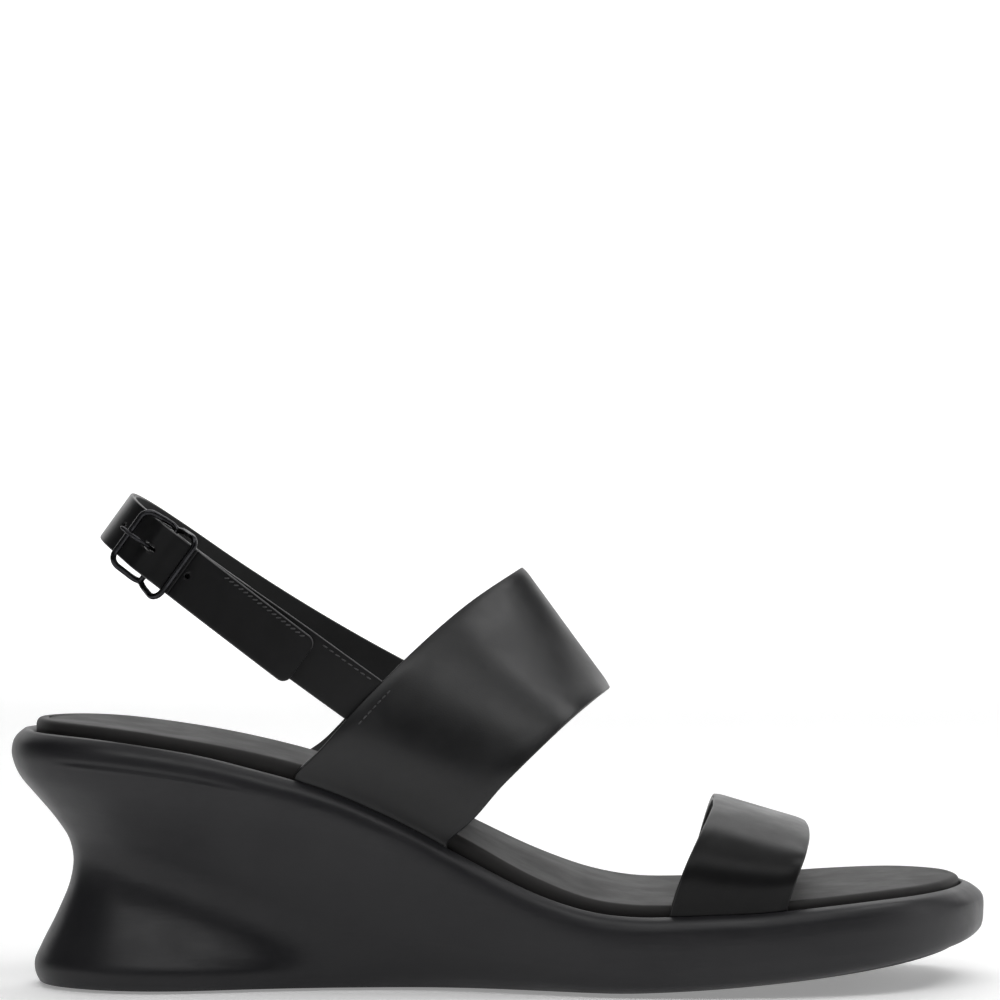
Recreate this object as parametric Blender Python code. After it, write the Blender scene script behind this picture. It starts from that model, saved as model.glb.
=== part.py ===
"""Women's wedge sandal, right foot: moulded wedge sole, covered footbed, toe strap, instep strap and a buckled slingback strap.

+X is the toe, -Y the lateral side, +Z up. The shapes are worked out in millimetres and written in metres.
"""

import math

import bmesh
import bpy
import numpy as np

MM = 0.001

# Sole, in millimetres
N_RING = 64
LIP_OUTLINE = [
    (-127.0, -5.0), (-121.6, -24.0), (-106.0, -36.2), (-85.0, -40.2), (-55.0, -39.6), (-25.0, -39.2),
    (5.0, -41.0), (35.0, -44.0), (61.0, -45.0), (87.0, -41.2), (106.6, -31.0), (119.6, -15.0), (126.0, 3.0),
    (127.0, 12.0), (123.2, 26.4), (111.6, 37.4), (92.0, 43.4), (67.0, 45.0), (40.0, 41.6), (12.0, 35.0),
    (-20.0, 30.0), (-50.0, 28.2), (-80.0, 28.6), (-104.0, 24.0), (-120.6, 11.6),
]
HEEL_INDEX, TOE_INDEX = 0, 13
FOOTBED_X = (-128.0, -122.0, -108.0, -83.0, -50.0, -30.0, -8.0, 10.0, 28.0, 40.0, 60.0, 83.0, 107.0, 119.0, 128.0)
FOOTBED_Z = (69.1, 69.0, 68.4, 65.3, 58.3, 50.5, 40.1, 31.3, 25.0, 23.3, 23.3, 24.9, 26.3, 26.4, 26.1)
STEP_X = (-128.0, -80.0, -58.0, -30.0, -13.0, 11.0, 24.0, 46.0, 60.0, 128.0)
STEP_Z = (3.1, 3.1, 4.1, 4.4, 4.7, 3.8, 3.0, 2.6, 2.2, 1.8)
ARCH_X = (-40.0, -26.0, -11.0, 0.0, 11.0, 18.0, 24.0, 34.0, 44.0, 54.0)
ARCH_DROP = (0.0, 0.2, 0.9, 1.6, 2.1, 2.1, 1.8, 0.8, 0.15, 0.0)
TOE_SPRING = 9.9
SPRING_START = 28.0
LEVELS = (0.0, 0.03, 0.08, 0.16, 0.28, 0.40, 0.51, 0.61, 0.71, 0.80, 0.87, 0.925, 0.965, 1.0)
HEEL_U = (0.0, 0.03, 0.07, 0.14, 0.275, 0.41, 0.48, 0.55, 0.643, 0.74, 0.818, 0.866, 0.906, 0.945, 0.975, 1.0)
HEEL_IN = (7.2, 6.1, 5.8, 7.6, 12.0, 15.4, 16.0, 15.2, 11.5, 6.2, 2.0, 0.6, 0.0, 0.3, 1.3, 3.4)
HEEL_WAIST_U = 0.48
HEEL_WAIST_IN = 16.0
FORE_U = (0.0, 0.04, 0.10, 0.20, 0.36, 0.60, 0.80, 0.90, 0.96, 1.0)
FORE_IN = (5.6, 3.2, 1.45, 0.5, 0.1, 0.0, 0.35, 1.1, 2.0, 3.5)
WAIST_IN = 6.3
TOE_ROUND = 1.5
TREAD_MARGIN = 3.4
TREAD_THICK = 2.9
TREAD_REVEAL = 0.55

# Footbed stack
RECESS_DEPTH = 7.9
RECESS_IN = 6.0
COVER_IN = 6.5
COVER_THICK = 1.2
BOARD_THICK = 2.0
FIT = 0.12

# Straps
OUTER_THICK = 1.1
LINING_THICK = 0.8
LAYER_GAP = 0.1
SEAT_IN = COVER_IN - 0.42 - LINING_THICK - LAYER_GAP / 2
INSTEP_REAR = [
    (-46.0, -37.4, 62.3), (-39.2, -38.6, 70.2), (-25.0, -33.4, 84.6), (-9.4, -20.3, 98.0), (4.8, -2.0, 107.0),
    (3.4, 8.0, 105.6), (-6.8, 18.6, 97.8), (-19.2, 26.0, 86.4), (-31.4, 29.4, 76.0), (-41.6, 29.0, 66.0), (-47.8, 26.6, 59.6),
]
INSTEP_FRONT = [
    (-5.8, -39.6, 47.2), (5.6, -40.6, 58.9), (17.4, -32.4, 69.6), (24.5, -18.6, 74.4), (27.9, -2.0, 75.6),
    (26.8, 9.0, 74.8), (21.4, 21.0, 70.6), (12.2, 30.4, 62.6), (2.0, 33.6, 53.0), (-6.4, 31.0, 45.0),
]
INSTEP_BASE = (-52.4, -13.6, -53.0, -14.2)
TOE_REAR = [
    (45.8, -41.4, 31.6), (49.6, -36.6, 39.2), (52.9, -26.0, 44.2), (54.9, -12.0, 46.3), (55.7, 3.0, 46.7),
    (55.9, 16.0, 46.1), (55.4, 28.6, 42.8), (54.0, 37.6, 36.2), (52.4, 40.4, 29.8),
]
TOE_FRONT = [
    (74.4, -39.8, 28.6), (76.8, -36.2, 34.0), (78.6, -27.0, 37.4), (79.6, -13.0, 39.2), (80.0, 3.0, 39.5),
    (80.0, 17.0, 39.0), (79.6, 29.2, 36.6), (78.6, 37.0, 31.8), (78.0, 39.8, 28.0),
]
TOE_BASE = (42.8, 72.6, 49.6, 76.8)

# Slingback
SLING_ANGLE = 36.0
SLING_ORIGIN = (-34.5, 0.0, 76.0)
SLING_HALF = 6.9
SLING_PATH = [
    (-6.0, -35.4), (0.0, -35.8), (15.0, -36.3), (30.0, -35.9), (44.0, -34.9), (55.0, -33.3), (63.3, -31.0), (71.2, -26.9),
    (76.6, -19.6), (78.5, -8.0), (77.3, 3.0), (72.2, 11.6), (62.4, 18.0), (48.0, 22.4), (30.0, 26.0), (12.0, 27.8),
    (0.0, 28.0), (-6.0, 27.6),
]
PIVOT_A = 9.0
BAR_A = 63.3
CHAPE_THICK = 0.9
BILLET_OUTER = 0.95
BILLET_LINING = 0.7
BAR_RADIUS = 0.75
WIRE_RADIUS = 0.78
FRAME_HALF_LONG = 8.4
FRAME_HALF_WIDE = 8.65
FRAME_RISE = 4.6
FRAME_DROP = -0.5
FRAME_TAPER = 0.08
FRAME_SKEW = -0.012
BILLET_SLOPE = 0.02
CHAPE_W = -0.85
BILLET_W = -1.6
MEDIAL_W = 2.6
PIVOT_W = 1.0
BILLET_END_A = 18.0
FLAP_BACK = 11.6


def clear_scene():
    for obj in list(bpy.data.objects):
        bpy.data.objects.remove(obj, do_unlink=True)


def curve_of(xs, ys):
    """A smooth function through the given points, with slopes that don't overshoot."""
    xs, ys = np.array(xs, float), np.array(ys, float)
    steps = np.diff(ys) / np.diff(xs)
    slopes = np.empty(len(xs))
    slopes[0], slopes[-1] = steps[0], steps[-1]
    for i in range(1, len(xs) - 1):
        left, right = steps[i - 1], steps[i]
        slopes[i] = 0.0 if left * right <= 0 else 2.0 * left * right / (left + right)

    def value(x):
        x = np.clip(np.asarray(x, float), xs[0], xs[-1])
        i = np.clip(np.searchsorted(xs, x, side="right") - 1, 0, len(xs) - 2)
        h = xs[i + 1] - xs[i]
        t = (x - xs[i]) / h
        return (
            ys[i] * (2 * t**3 - 3 * t**2 + 1)
            + slopes[i] * h * (t**3 - 2 * t**2 + t)
            + ys[i + 1] * (3 * t**2 - 2 * t**3)
            + slopes[i + 1] * h * (t**3 - t**2)
        )

    return value


def spline(points, closed=False, per=24):
    """Dense points of a centripetal Catmull-Rom curve, and the index of each control point in them."""
    p = np.array(points, float)
    count = len(p)
    if closed:
        ext = np.vstack([p[-1], p, p[0], p[1]])
        spans = count
    else:
        ext = np.vstack([2 * p[0] - p[1], p, 2 * p[-1] - p[-2]])
        spans = count - 1
    out = []
    for i in range(spans):
        a, b, c, d = ext[i : i + 4]
        t0 = 0.0
        t1 = t0 + np.linalg.norm(b - a) ** 0.5
        t2 = t1 + np.linalg.norm(c - b) ** 0.5
        t3 = t2 + np.linalg.norm(d - c) ** 0.5
        for t in np.linspace(t1, t2, per, endpoint=False):
            a1 = (t1 - t) / (t1 - t0) * a + (t - t0) / (t1 - t0) * b
            a2 = (t2 - t) / (t2 - t1) * b + (t - t1) / (t2 - t1) * c
            a3 = (t3 - t) / (t3 - t2) * c + (t - t2) / (t3 - t2) * d
            b1 = (t2 - t) / (t2 - t0) * a1 + (t - t0) / (t2 - t0) * a2
            b2 = (t3 - t) / (t3 - t1) * a2 + (t - t1) / (t3 - t1) * a3
            out.append((t2 - t) / (t2 - t1) * b1 + (t - t1) / (t2 - t1) * b2)
    if not closed:
        out.append(p[-1])
    return np.array(out)


def resample(points, stations):
    """Points at the given fractions of the length of a polyline."""
    lengths = np.concatenate([[0.0], np.cumsum(np.linalg.norm(np.diff(points, axis=0), axis=1))])
    at = np.asarray(stations) * lengths[-1]
    return np.stack([np.interp(at, lengths, points[:, k]) for k in range(points.shape[1])], axis=1)


def outline_points():
    """The lip outline: from the heel along the lateral side to the toe, then back along the medial side."""
    dense = spline(LIP_OUTLINE, closed=True)
    heel, toe = HEEL_INDEX * 24, TOE_INDEX * 24
    half = N_RING // 2
    t = np.arange(half) / half
    t = t - 0.4 * np.sin(2 * math.pi * t) / (2 * math.pi)
    lateral = resample(dense[heel : toe + 1], t)
    back = np.vstack([dense[toe:], dense[:1]])
    medial = resample(back, t)
    return np.vstack([lateral, medial])


OUTLINE = outline_points()
footbed_z = curve_of(FOOTBED_X, FOOTBED_Z)
step_down = curve_of(STEP_X, STEP_Z)
arch_drop = curve_of(ARCH_X, ARCH_DROP)
heel_in = curve_of(HEEL_U, HEEL_IN)
fore_in = curve_of(FORE_U, FORE_IN)


def normals_of(ring):
    tangent = np.roll(ring, -1, axis=0) - np.roll(ring, 1, axis=0)
    tangent /= np.linalg.norm(tangent, axis=1)[:, None]
    return np.stack([tangent[:, 1], -tangent[:, 0]], axis=1)


NORMALS = normals_of(OUTLINE)


def smoothstep(x, low, high):
    t = np.clip((np.asarray(x, float) - np.asarray(low, float)) / (np.asarray(high, float) - low), 0.0, 1.0)
    return t * t * (3 - 2 * t)


def bottom_z(x):
    return TOE_SPRING * np.clip((np.asarray(x, float) - SPRING_START) / (127.0 - SPRING_START), 0.0, None) ** 1.5


def lip_z(x):
    return footbed_z(x) - step_down(x)


def sink(points):
    """Lowers the lateral side of the footbed under the arch, with everything that stands in it."""
    x, y, z = points[:, 0], points[:, 1], points[:, 2]
    f = footbed_z(x)
    share = smoothstep(z, 0.12 * f, 0.55 * f) * (1 - smoothstep(z, f + 3.0, f + 18.0))
    return np.column_stack([x, y, z - arch_drop(x) * smoothstep(-y, -4.0, 32.0) * share])


def flank_inset(u, x):
    """How far the side stands inside the lip outline at height share u. The heel's waist runs lower towards the arch."""
    heel_share = smoothstep(-x, -35.0, 88.0)
    waist_u = HEEL_WAIST_U - 0.32 * smoothstep(x, -124.0, -8.0)
    pull = np.where(u < waist_u, smoothstep(u, 0.03, waist_u), 1 - smoothstep(u, waist_u, 0.96))
    heel = heel_in(u + (HEEL_WAIST_U - waist_u) * pull)
    flare = np.where(u < waist_u, smoothstep(-x, 38.0, 96.0), 1.0)
    heel = HEEL_WAIST_IN - (HEEL_WAIST_IN - heel) * flare
    inset = heel_share * heel + (1 - heel_share) * fore_in(u)
    waist = np.exp(-(((x + 12.0) / 30.0) ** 2))
    inset = inset + TOE_ROUND * smoothstep(x, 104.0, 126.0) * smoothstep(u, 0.72, 1.0)
    return inset + WAIST_IN * waist * np.clip(1 - u / 0.75, 0.0, None) ** 1.6


def ring_at(inset, z):
    """A ring of points: inset may be a number or one per point, z a function of x."""
    inset = np.broadcast_to(np.asarray(inset, float), (N_RING,))
    flat = OUTLINE - NORMALS * inset[:, None]
    return np.column_stack([flat, z(flat[:, 0])])


def flank_ring(u):
    inset = flank_inset(u, OUTLINE[:, 0])
    flat = OUTLINE - NORMALS * inset[:, None]
    x = OUTLINE[:, 0]
    low, high = bottom_z(x) + TREAD_REVEAL, lip_z(x)
    return np.column_stack([flat, low + (high - low) * u])


class Body:
    def __init__(self):
        self.verts = []
        self.faces = []

    def add(self, points):
        start = len(self.verts)
        self.verts.extend(tuple(p) for p in points)
        return list(range(start, start + len(points)))

    def join(self, a, b):
        count = len(a)
        for i in range(count):
            j = (i + 1) % count
            self.faces.append((a[i], a[j], b[j], b[i]))

    def cap(self, ring, z, across=6):
        """Closes a ring with rungs from its lateral to its medial half; z gives the height inside."""
        count = len(ring)
        rows = []
        for i in range(count // 2 + 1):
            a, b = ring[i], ring[(count - i) % count]
            if a == b:
                rows.append([a])
                continue
            pa, pb = np.array(self.verts[a]), np.array(self.verts[b])
            inner = []
            for j in range(1, across):
                p = pa + (pb - pa) * j / across
                p[2] = z(p[0], p[1])
                inner.append(p)
            rows.append([a] + self.add(inner) + [b])
        for one, two in zip(rows, rows[1:]):
            if len(one) == 1:
                self.faces += [(one[0], two[j], two[j + 1]) for j in range(len(two) - 1)]
            elif len(two) == 1:
                self.faces += [(two[0], one[j + 1], one[j]) for j in range(len(one) - 1)]
            else:
                self.faces += [(one[j], two[j], two[j + 1], one[j + 1]) for j in range(len(one) - 1)]

    def stack(self, rings, z_first, z_last, across=6):
        indices = [self.add(ring) for ring in rings]
        for a, b in zip(indices, indices[1:]):
            self.join(a, b)
        self.cap(indices[0], z_first, across)
        self.cap(indices[-1], z_last, across)
        return self


def finish(name, body, material, smooth=True, cutter=False):
    mesh = bpy.data.meshes.new(name)
    mesh.from_pydata((sink(np.array(body.verts, float)) * MM).tolist(), [], body.faces)
    made = bmesh.new()
    made.from_mesh(mesh)
    bmesh.ops.remove_doubles(made, verts=made.verts, dist=1e-7)
    bmesh.ops.dissolve_degenerate(made, edges=made.edges, dist=1e-7)
    bmesh.ops.recalc_face_normals(made, faces=made.faces)
    if made.calc_volume(signed=True) < 0:
        bmesh.ops.reverse_faces(made, faces=made.faces)
    made.to_mesh(mesh)
    made.free()
    obj = bpy.data.objects.new(name, mesh)
    bpy.context.scene.collection.objects.link(obj)
    if material:
        mesh.materials.append(material)
    if smooth:
        for face in mesh.polygons:
            face.use_smooth = True
    if cutter:
        obj.hide_render = True
        obj.display_type = "WIRE"
    return obj


def cut(obj, cutter):
    modifier = obj.modifiers.new("cut_" + cutter.name, "BOOLEAN")
    modifier.operation = "DIFFERENCE"
    modifier.solver = "EXACT"
    modifier.object = cutter


def material_of(name, colour, roughness, metallic=0.0):
    material = bpy.data.materials.new(name)
    material.use_nodes = True
    shader = material.node_tree.nodes["Principled BSDF"]
    shader.inputs["Base Color"].default_value = (*colour, 1.0)
    shader.inputs["Roughness"].default_value = roughness
    shader.inputs["Metallic"].default_value = metallic
    material.diffuse_color = (*colour, 1.0)
    return material


def box_body(centre, half, axes=None):
    axes = np.eye(3) if axes is None else np.array(axes, float)
    body = Body()
    corners = [(x, y, z) for x in (-1, 1) for y in (-1, 1) for z in (-1, 1)]
    body.add([np.array(centre) + sum(c * h * axis for c, h, axis in zip(corner, half, axes)) for corner in corners])
    body.faces = [(0, 1, 3, 2), (4, 6, 7, 5), (0, 4, 5, 1), (2, 3, 7, 6), (0, 2, 6, 4), (1, 5, 7, 3)]
    return body


def tube_body(path, radius, sides=12, up=(0.0, 0.0, 1.0), closed=False, squash=None):
    """A round bar along a path."""
    path = np.array(path, float)
    count = len(path)
    if closed:
        tangent = np.roll(path, -1, axis=0) - np.roll(path, 1, axis=0)
    else:
        tangent = np.gradient(path, axis=0)
    tangent /= np.linalg.norm(tangent, axis=1)[:, None]
    up = np.array(up, float)
    body = Body()
    rings = []
    for i in range(count):
        side = np.cross(tangent[i], up)
        side /= np.linalg.norm(side)
        top = np.cross(side, tangent[i])
        r = radius[i] if np.ndim(radius) else radius
        k = 1.0 if squash is None else squash
        rings.append(
            body.add(
                [path[i] + r * (math.cos(a) * side + k * math.sin(a) * top) for a in np.arange(sides) * 2 * math.pi / sides]
            )
        )
    for a, b in zip(rings, rings[1:]):
        body.join(a, b)
    if closed:
        body.join(rings[-1], rings[0])
    else:
        body.faces.append(tuple(rings[0]))
        body.faces.append(tuple(reversed(rings[-1])))
    return body


def lathe_body(origin, axes, profile, sides=14):
    """Turns a closed profile of (radius, height) round the third axis. Points on the axis have radius 0."""
    origin, axes = np.array(origin, float), np.array(axes, float)
    body = Body()
    rings = []
    for radius, height in profile:
        if radius < 1e-6:
            rings.append(body.add([origin + axes[2] * height]))
            continue
        rings.append(
            body.add(
                [
                    origin + radius * (math.cos(a) * axes[0] + math.sin(a) * axes[1]) + axes[2] * height
                    for a in np.arange(sides) * 2 * math.pi / sides
                ]
            )
        )
    for a, b in zip(rings, rings[1:]):
        if len(a) == 1 and len(b) > 1:
            body.faces += [(a[0], b[(i + 1) % sides], b[i]) for i in range(sides)]
        elif len(b) == 1 and len(a) > 1:
            body.faces += [(b[0], a[i], a[(i + 1) % sides]) for i in range(sides)]
        elif len(a) > 1:
            body.join(a, b)
    return body


# ---------------------------------------------------------------- sole and footbed


def wedge_body():
    base_in = flank_inset(0.0, OUTLINE[:, 0])
    rings = [
        ring_at(base_in + TREAD_MARGIN - 0.4, lambda x: bottom_z(x) + TREAD_THICK + 0.35),
        ring_at(base_in + TREAD_MARGIN - 0.4, lambda x: bottom_z(x) + TREAD_REVEAL - 0.05),
        ring_at(base_in + 1.2, lambda x: bottom_z(x) + TREAD_REVEAL - 0.1),
    ]
    rings += [flank_ring(u) for u in LEVELS]
    rings += [
        ring_at(4.8, lambda x: lip_z(x) - 0.15),
        ring_at(5.6, lambda x: lip_z(x) - 0.8),
        ring_at(RECESS_IN, lambda x: lip_z(x) - 1.8),
        ring_at(RECESS_IN, lambda x: footbed_z(x) - RECESS_DEPTH),
    ]
    return Body().stack(
        rings,
        lambda x, y: bottom_z(x) + TREAD_THICK + 0.35,
        lambda x, y: footbed_z(x) - RECESS_DEPTH,
        across=2,
    )


def plate_body(inset, z_low, z_high, edge=0.0, across=2):
    rings = [ring_at(inset, z_low)]
    if edge:
        rings.append(ring_at(np.asarray(inset) , lambda x: z_high(x) - edge))
        rings.append(ring_at(np.asarray(inset) + edge * 0.3, lambda x: z_high(x) - edge * 0.3))
        rings.append(ring_at(np.asarray(inset) + edge, z_high))
    else:
        rings.append(ring_at(inset, z_high))
    return Body().stack(rings, lambda x, y: z_low(x), lambda x, y: z_high(x), across)


def cover_body():
    """The leather sock: a cap with a turned-down side, open underneath."""
    low = lambda x: footbed_z(x) - RECESS_DEPTH + 0.4
    rings = [
        ring_at(COVER_IN + COVER_THICK, lambda x: footbed_z(x) - COVER_THICK),
        ring_at(COVER_IN + COVER_THICK, low),
        ring_at(COVER_IN, low),
        ring_at(COVER_IN, lambda x: footbed_z(x) - 1.1),
        ring_at(COVER_IN + 0.3, lambda x: footbed_z(x) - 0.35),
        ring_at(COVER_IN + 1.1, lambda x: footbed_z(x)),
    ]
    return Body().stack(
        rings, lambda x, y: footbed_z(x) - COVER_THICK, lambda x, y: footbed_z(x), across=2
    )


def bar_body(x0, x1, y_mid, half, z_low, z_high, count=24, ends=0.0):
    """A strip that follows the slope of the footbed."""
    xs = np.linspace(x0, x1, count)
    body = Body()
    rings = []
    for x in xs:
        h = half
        if ends:
            d = min(x - x0, x1 - x)
            if d < ends:
                h = half * math.sqrt(max(0.08, 1 - ((ends - d) / ends) ** 2))
        rings.append(body.add([(x, y_mid - h, z_low(x)), (x, y_mid + h, z_low(x)), (x, y_mid + h, z_high(x)), (x, y_mid - h, z_high(x))]))
    for a, b in zip(rings, rings[1:]):
        body.join(a, b)
    body.faces.append(tuple(rings[0]))
    body.faces.append(tuple(reversed(rings[-1])))
    return body


# ---------------------------------------------------------------- upper straps


def side_y(x, side, inset):
    """Where the inset outline stands at this x, on the lateral (-1) or the medial (+1) side."""
    line = OUTLINE - NORMALS * inset
    half = N_RING // 2
    if side < 0:
        part = line[2 : half - 2]
        return float(np.interp(x, part[:, 0], part[:, 1]))
    part = line[half + 2 : N_RING - 2][::-1]
    return float(np.interp(x, part[:, 0], part[:, 1]))


def strap_edge(base_lateral, middle, base_medial):
    """One edge line of a strap: from under the board, up through the seam, over the foot and down again."""
    reach = 11.0
    line_in = SEAT_IN

    def foot(x, side):
        y = side_y(x, side, line_in)
        floor = float(footbed_z(x)) - RECESS_DEPTH
        low = floor - 0.35 - LINING_THICK - LAYER_GAP / 2
        top = float(lip_z(x)) + 1.0
        inward = -side
        bend = 1.9
        points = [(x, y + inward * reach, low), (x, y + inward * (reach + bend) / 2, low)]
        for angle in (0, 22.5, 45, 67.5, 90):
            a = math.radians(angle)
            points.append((x, y + inward * bend * (1 - math.sin(a)), low + bend * (1 - math.cos(a))))
        points.append((x, y, (low + bend + top) / 2))
        points.append((x, y, top))
        return points

    return spline(foot(base_lateral, -1) + list(middle) + foot(base_medial, 1)[::-1], per=12)


class Strap:
    def __init__(self, rear, front, bases, count=54):
        self.count = count
        first = strap_edge(bases[0], rear, bases[2])
        second = strap_edge(bases[1], front, bases[3])
        self.rear = self.sample(first)
        self.front = self.sample(second)

    def sample(self, line):
        """Stations that crowd into the folded ends."""
        lengths = np.concatenate([[0.0], np.cumsum(np.linalg.norm(np.diff(line, axis=0), axis=1))])
        total = lengths[-1]
        ends = 22.0
        marks = np.concatenate(
            [
                np.linspace(0, 9.0, 2, endpoint=False),
                np.linspace(9.0, 14.4, 7, endpoint=False),
                np.linspace(14.4, ends, 3, endpoint=False),
                np.linspace(ends, total - ends, self.count - 24),
                total - np.linspace(14.4, ends, 3, endpoint=False)[::-1],
                total - np.linspace(9.0, 14.4, 7, endpoint=False)[::-1],
                total - np.linspace(0, 9.0, 2, endpoint=False)[::-1],
            ]
        )
        self.seated = 1 - smoothstep(np.minimum(marks, total - marks), 21.0, 36.0)
        return np.stack([np.interp(marks, lengths, line[:, k]) for k in range(3)], axis=1)

    def grid(self, us, offset, crown=0.0):
        """Points of the strap surface at fractions us of its width, moved out along its normal."""
        us = np.asarray(us, float)
        surface = self.rear[:, None, :] * (1 - us)[None, :, None] + self.front[:, None, :] * us[None, :, None]
        for i in range(self.count):
            share = self.seated[i]
            if share <= 0:
                continue
            side = -1 if i < self.count // 2 else 1
            for j, u in enumerate(us):
                x = surface[i, j, 0]
                ends = (self.rear[i, 0], self.front[i, 0])
                bend_y = side_y(x, side, SEAT_IN) - (1 - u) * side_y(ends[0], side, SEAT_IN) - u * side_y(ends[1], side, SEAT_IN)
                bend_z = float(footbed_z(x) - (1 - u) * footbed_z(ends[0]) - u * footbed_z(ends[1]))
                surface[i, j, 1] += share * bend_y
                surface[i, j, 2] += share * bend_z
        along = np.gradient(surface, axis=0)
        across = np.gradient(surface, axis=1)
        normal = np.cross(across, along)
        normal /= np.linalg.norm(normal, axis=2)[:, :, None]
        return surface + normal * offset

    def slab(self, low, high, u0=0.0, u1=1.0, v0=0, v1=None, across=3, longer=False):
        us = np.linspace(u0, u1, across + 1)
        inner = self.grid(us, low)[v0:v1]
        outer = self.grid(us, high)[v0:v1]
        if longer:
            inner, outer = (np.vstack([g[:1] * 1.25 - g[1:2] * 0.25, g, g[-1:] * 1.25 - g[-2:-1] * 0.25]) for g in (inner, outer))
        return slab_of(inner, outer)


def slab_of(inner, outer):
    """A closed body between two matching grids of points."""
    rows, cols = inner.shape[:2]
    body = Body()
    a = np.array(body.add(inner.reshape(-1, 3))).reshape(rows, cols)
    b = np.array(body.add(outer.reshape(-1, 3))).reshape(rows, cols)
    for i in range(rows - 1):
        for j in range(cols - 1):
            body.faces.append((a[i, j], a[i, j + 1], a[i + 1, j + 1], a[i + 1, j]))
            body.faces.append((b[i, j], b[i + 1, j], b[i + 1, j + 1], b[i, j + 1]))
    for i in range(rows - 1):
        body.faces.append((a[i, 0], a[i + 1, 0], b[i + 1, 0], b[i, 0]))
        body.faces.append((a[i, -1], b[i, -1], b[i + 1, -1], a[i + 1, -1]))
    for j in range(cols - 1):
        body.faces.append((a[0, j], b[0, j], b[0, j + 1], a[0, j + 1]))
        body.faces.append((a[-1, j], a[-1, j + 1], b[-1, j + 1], b[-1, j]))
    return body


# ---------------------------------------------------------------- slingback strap and buckle

PHI = math.radians(SLING_ANGLE)
ALONG = np.array([-math.cos(PHI), 0.0, math.sin(PHI)])
WIDE = np.array([math.sin(PHI), 0.0, math.cos(PHI)])
ACROSS = np.array([0.0, 1.0, 0.0])
ORIGIN = np.array(SLING_ORIGIN)
PATH = spline(SLING_PATH, per=40)
PATH_S = np.concatenate([[0.0], np.cumsum(np.linalg.norm(np.diff(PATH, axis=0), axis=1))])
BACK = int(np.argmax(PATH[:, 0]))


def s_at(a, medial=False):
    """Distance along the slingback path at which it stands a from the instep strap."""
    if medial:
        return float(np.interp(-a, -PATH[BACK:, 0], PATH_S[BACK:]))
    return float(np.interp(a, PATH[: BACK + 1, 0], PATH_S[: BACK + 1]))


def path_point(s):
    return np.array([np.interp(s, PATH_S, PATH[:, 0]), np.interp(s, PATH_S, PATH[:, 1])])


def path_frame(s):
    """Point, direction and outward normal in the plane of the slingback."""
    step = 0.6
    t = path_point(s + step) - path_point(s - step)
    t /= np.linalg.norm(t)
    return path_point(s), t, np.array([t[1], -t[0]])


def place(point, w):
    return ORIGIN + ALONG * point[0] + ACROSS * point[1] + WIDE * w


def ribbon(stations, low, high, half, middle=None):
    """A flat strip along the slingback path. low, high and half may be numbers or functions of s."""
    fun = lambda f, s: f(s) if callable(f) else f
    inner, outer = [], []
    for s in stations:
        point, _, normal = path_frame(s)
        h = fun(half, s)
        m = fun(middle, s) if middle is not None else 0.0
        ws = m + np.linspace(-h, h, 3)
        inner.append([place(point + normal * fun(low, s), w) for w in ws])
        outer.append([place(point + normal * fun(high, s), w) for w in ws])
    return slab_of(np.array(inner), np.array(outer))


S_BAR = s_at(BAR_A)
S_PIVOT = s_at(PIVOT_A)
S_PIVOT_MEDIAL = s_at(PIVOT_A, medial=True)
S_BILLET_END = s_at(BILLET_END_A)
S_FLAP = S_BAR - FLAP_BACK
BAR_POINT, BAR_T, BAR_N = path_frame(S_BAR)
BUCKLE_T = ALONG * BAR_T[0] + ACROSS * BAR_T[1]
BUCKLE_N = ALONG * BAR_N[0] + ACROSS * BAR_N[1]
BUCKLE_O = place(BAR_POINT, BILLET_W)


def heel_w(s):
    """How far the strap's centre line stands above the plane of the path: it sinks towards the billet's end and climbs on the far side."""
    low = BILLET_SLOPE * max(0.0, S_BAR - 4.0 - s)
    t = np.clip((s - s_at(56, True)) / (s_at(-3, True) - s_at(56, True)), 0.0, 1.1)
    return BILLET_W - low + (MEDIAL_W - BILLET_W) * float(t) ** 2


def chape_w(s):
    return CHAPE_W + (BILLET_W + 0.1 - CHAPE_W) * float(smoothstep(s, S_PIVOT + 8.0, S_BAR - 6.0))


def round_end(s_centre, sign):
    """Half width of a strip whose end is a half circle round the pivot."""

    def half(s):
        d = (s_centre - s) * sign
        return SLING_HALF if d <= 0 else math.sqrt(max(SLING_HALF**2 - d * d, 0.8))

    return half


def billet_height(s):
    """How far the billet's underside stands off the path: it rides over the centre bar and lies on the chape."""
    rest = CHAPE_THICK + 0.25
    top = BAR_RADIUS + 0.1 + CHAPE_THICK + 0.3
    d = s - S_BAR
    if d < 0:
        return rest + (top - rest) * float(smoothstep(d, -7.5, -1.2))
    low = -0.8
    return top + (low - top) * float(smoothstep(d, 1.6, 9.5))


def buckle_point(t, w, n):
    return BUCKLE_O + BUCKLE_T * t + WIDE * w + BUCKLE_N * n


def frame_body():
    """The frame and its centre bar as one casting, with its sides bowed over the strap."""
    corner = 2.6
    loop = []
    long_half, wide_half = FRAME_HALF_LONG, FRAME_HALF_WIDE
    for cx, cy, start in ((1, 1, 0), (-1, 1, 90), (-1, -1, 180), (1, -1, 270)):
        for angle in np.linspace(start, start + 90, 5):
            a = math.radians(angle)
            loop.append((cx * (long_half - corner) + corner * math.cos(a), cy * (wide_half - corner) + corner * math.sin(a)))
        if (cx, cy) in ((1, 1), (-1, -1)):
            for t in (0.66, 0.33, 0.0, -0.33, -0.66):
                loop.append((cx * t * (long_half - corner), cy * (wide_half - 0.4 * (1 - abs(t)) ** 1.5)))
    ring = []
    for t, w in loop:
        rise = FRAME_RISE * (1 - math.cos(math.pi * min(1.0, abs(t) / long_half))) / 2
        ring.append(buckle_point(t, w * (1 - FRAME_TAPER * t / wide_half) + FRAME_DROP + FRAME_SKEW * t, rise))
    return tube_body(ring, WIRE_RADIUS, 8, up=BUCKLE_N, closed=True)


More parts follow.
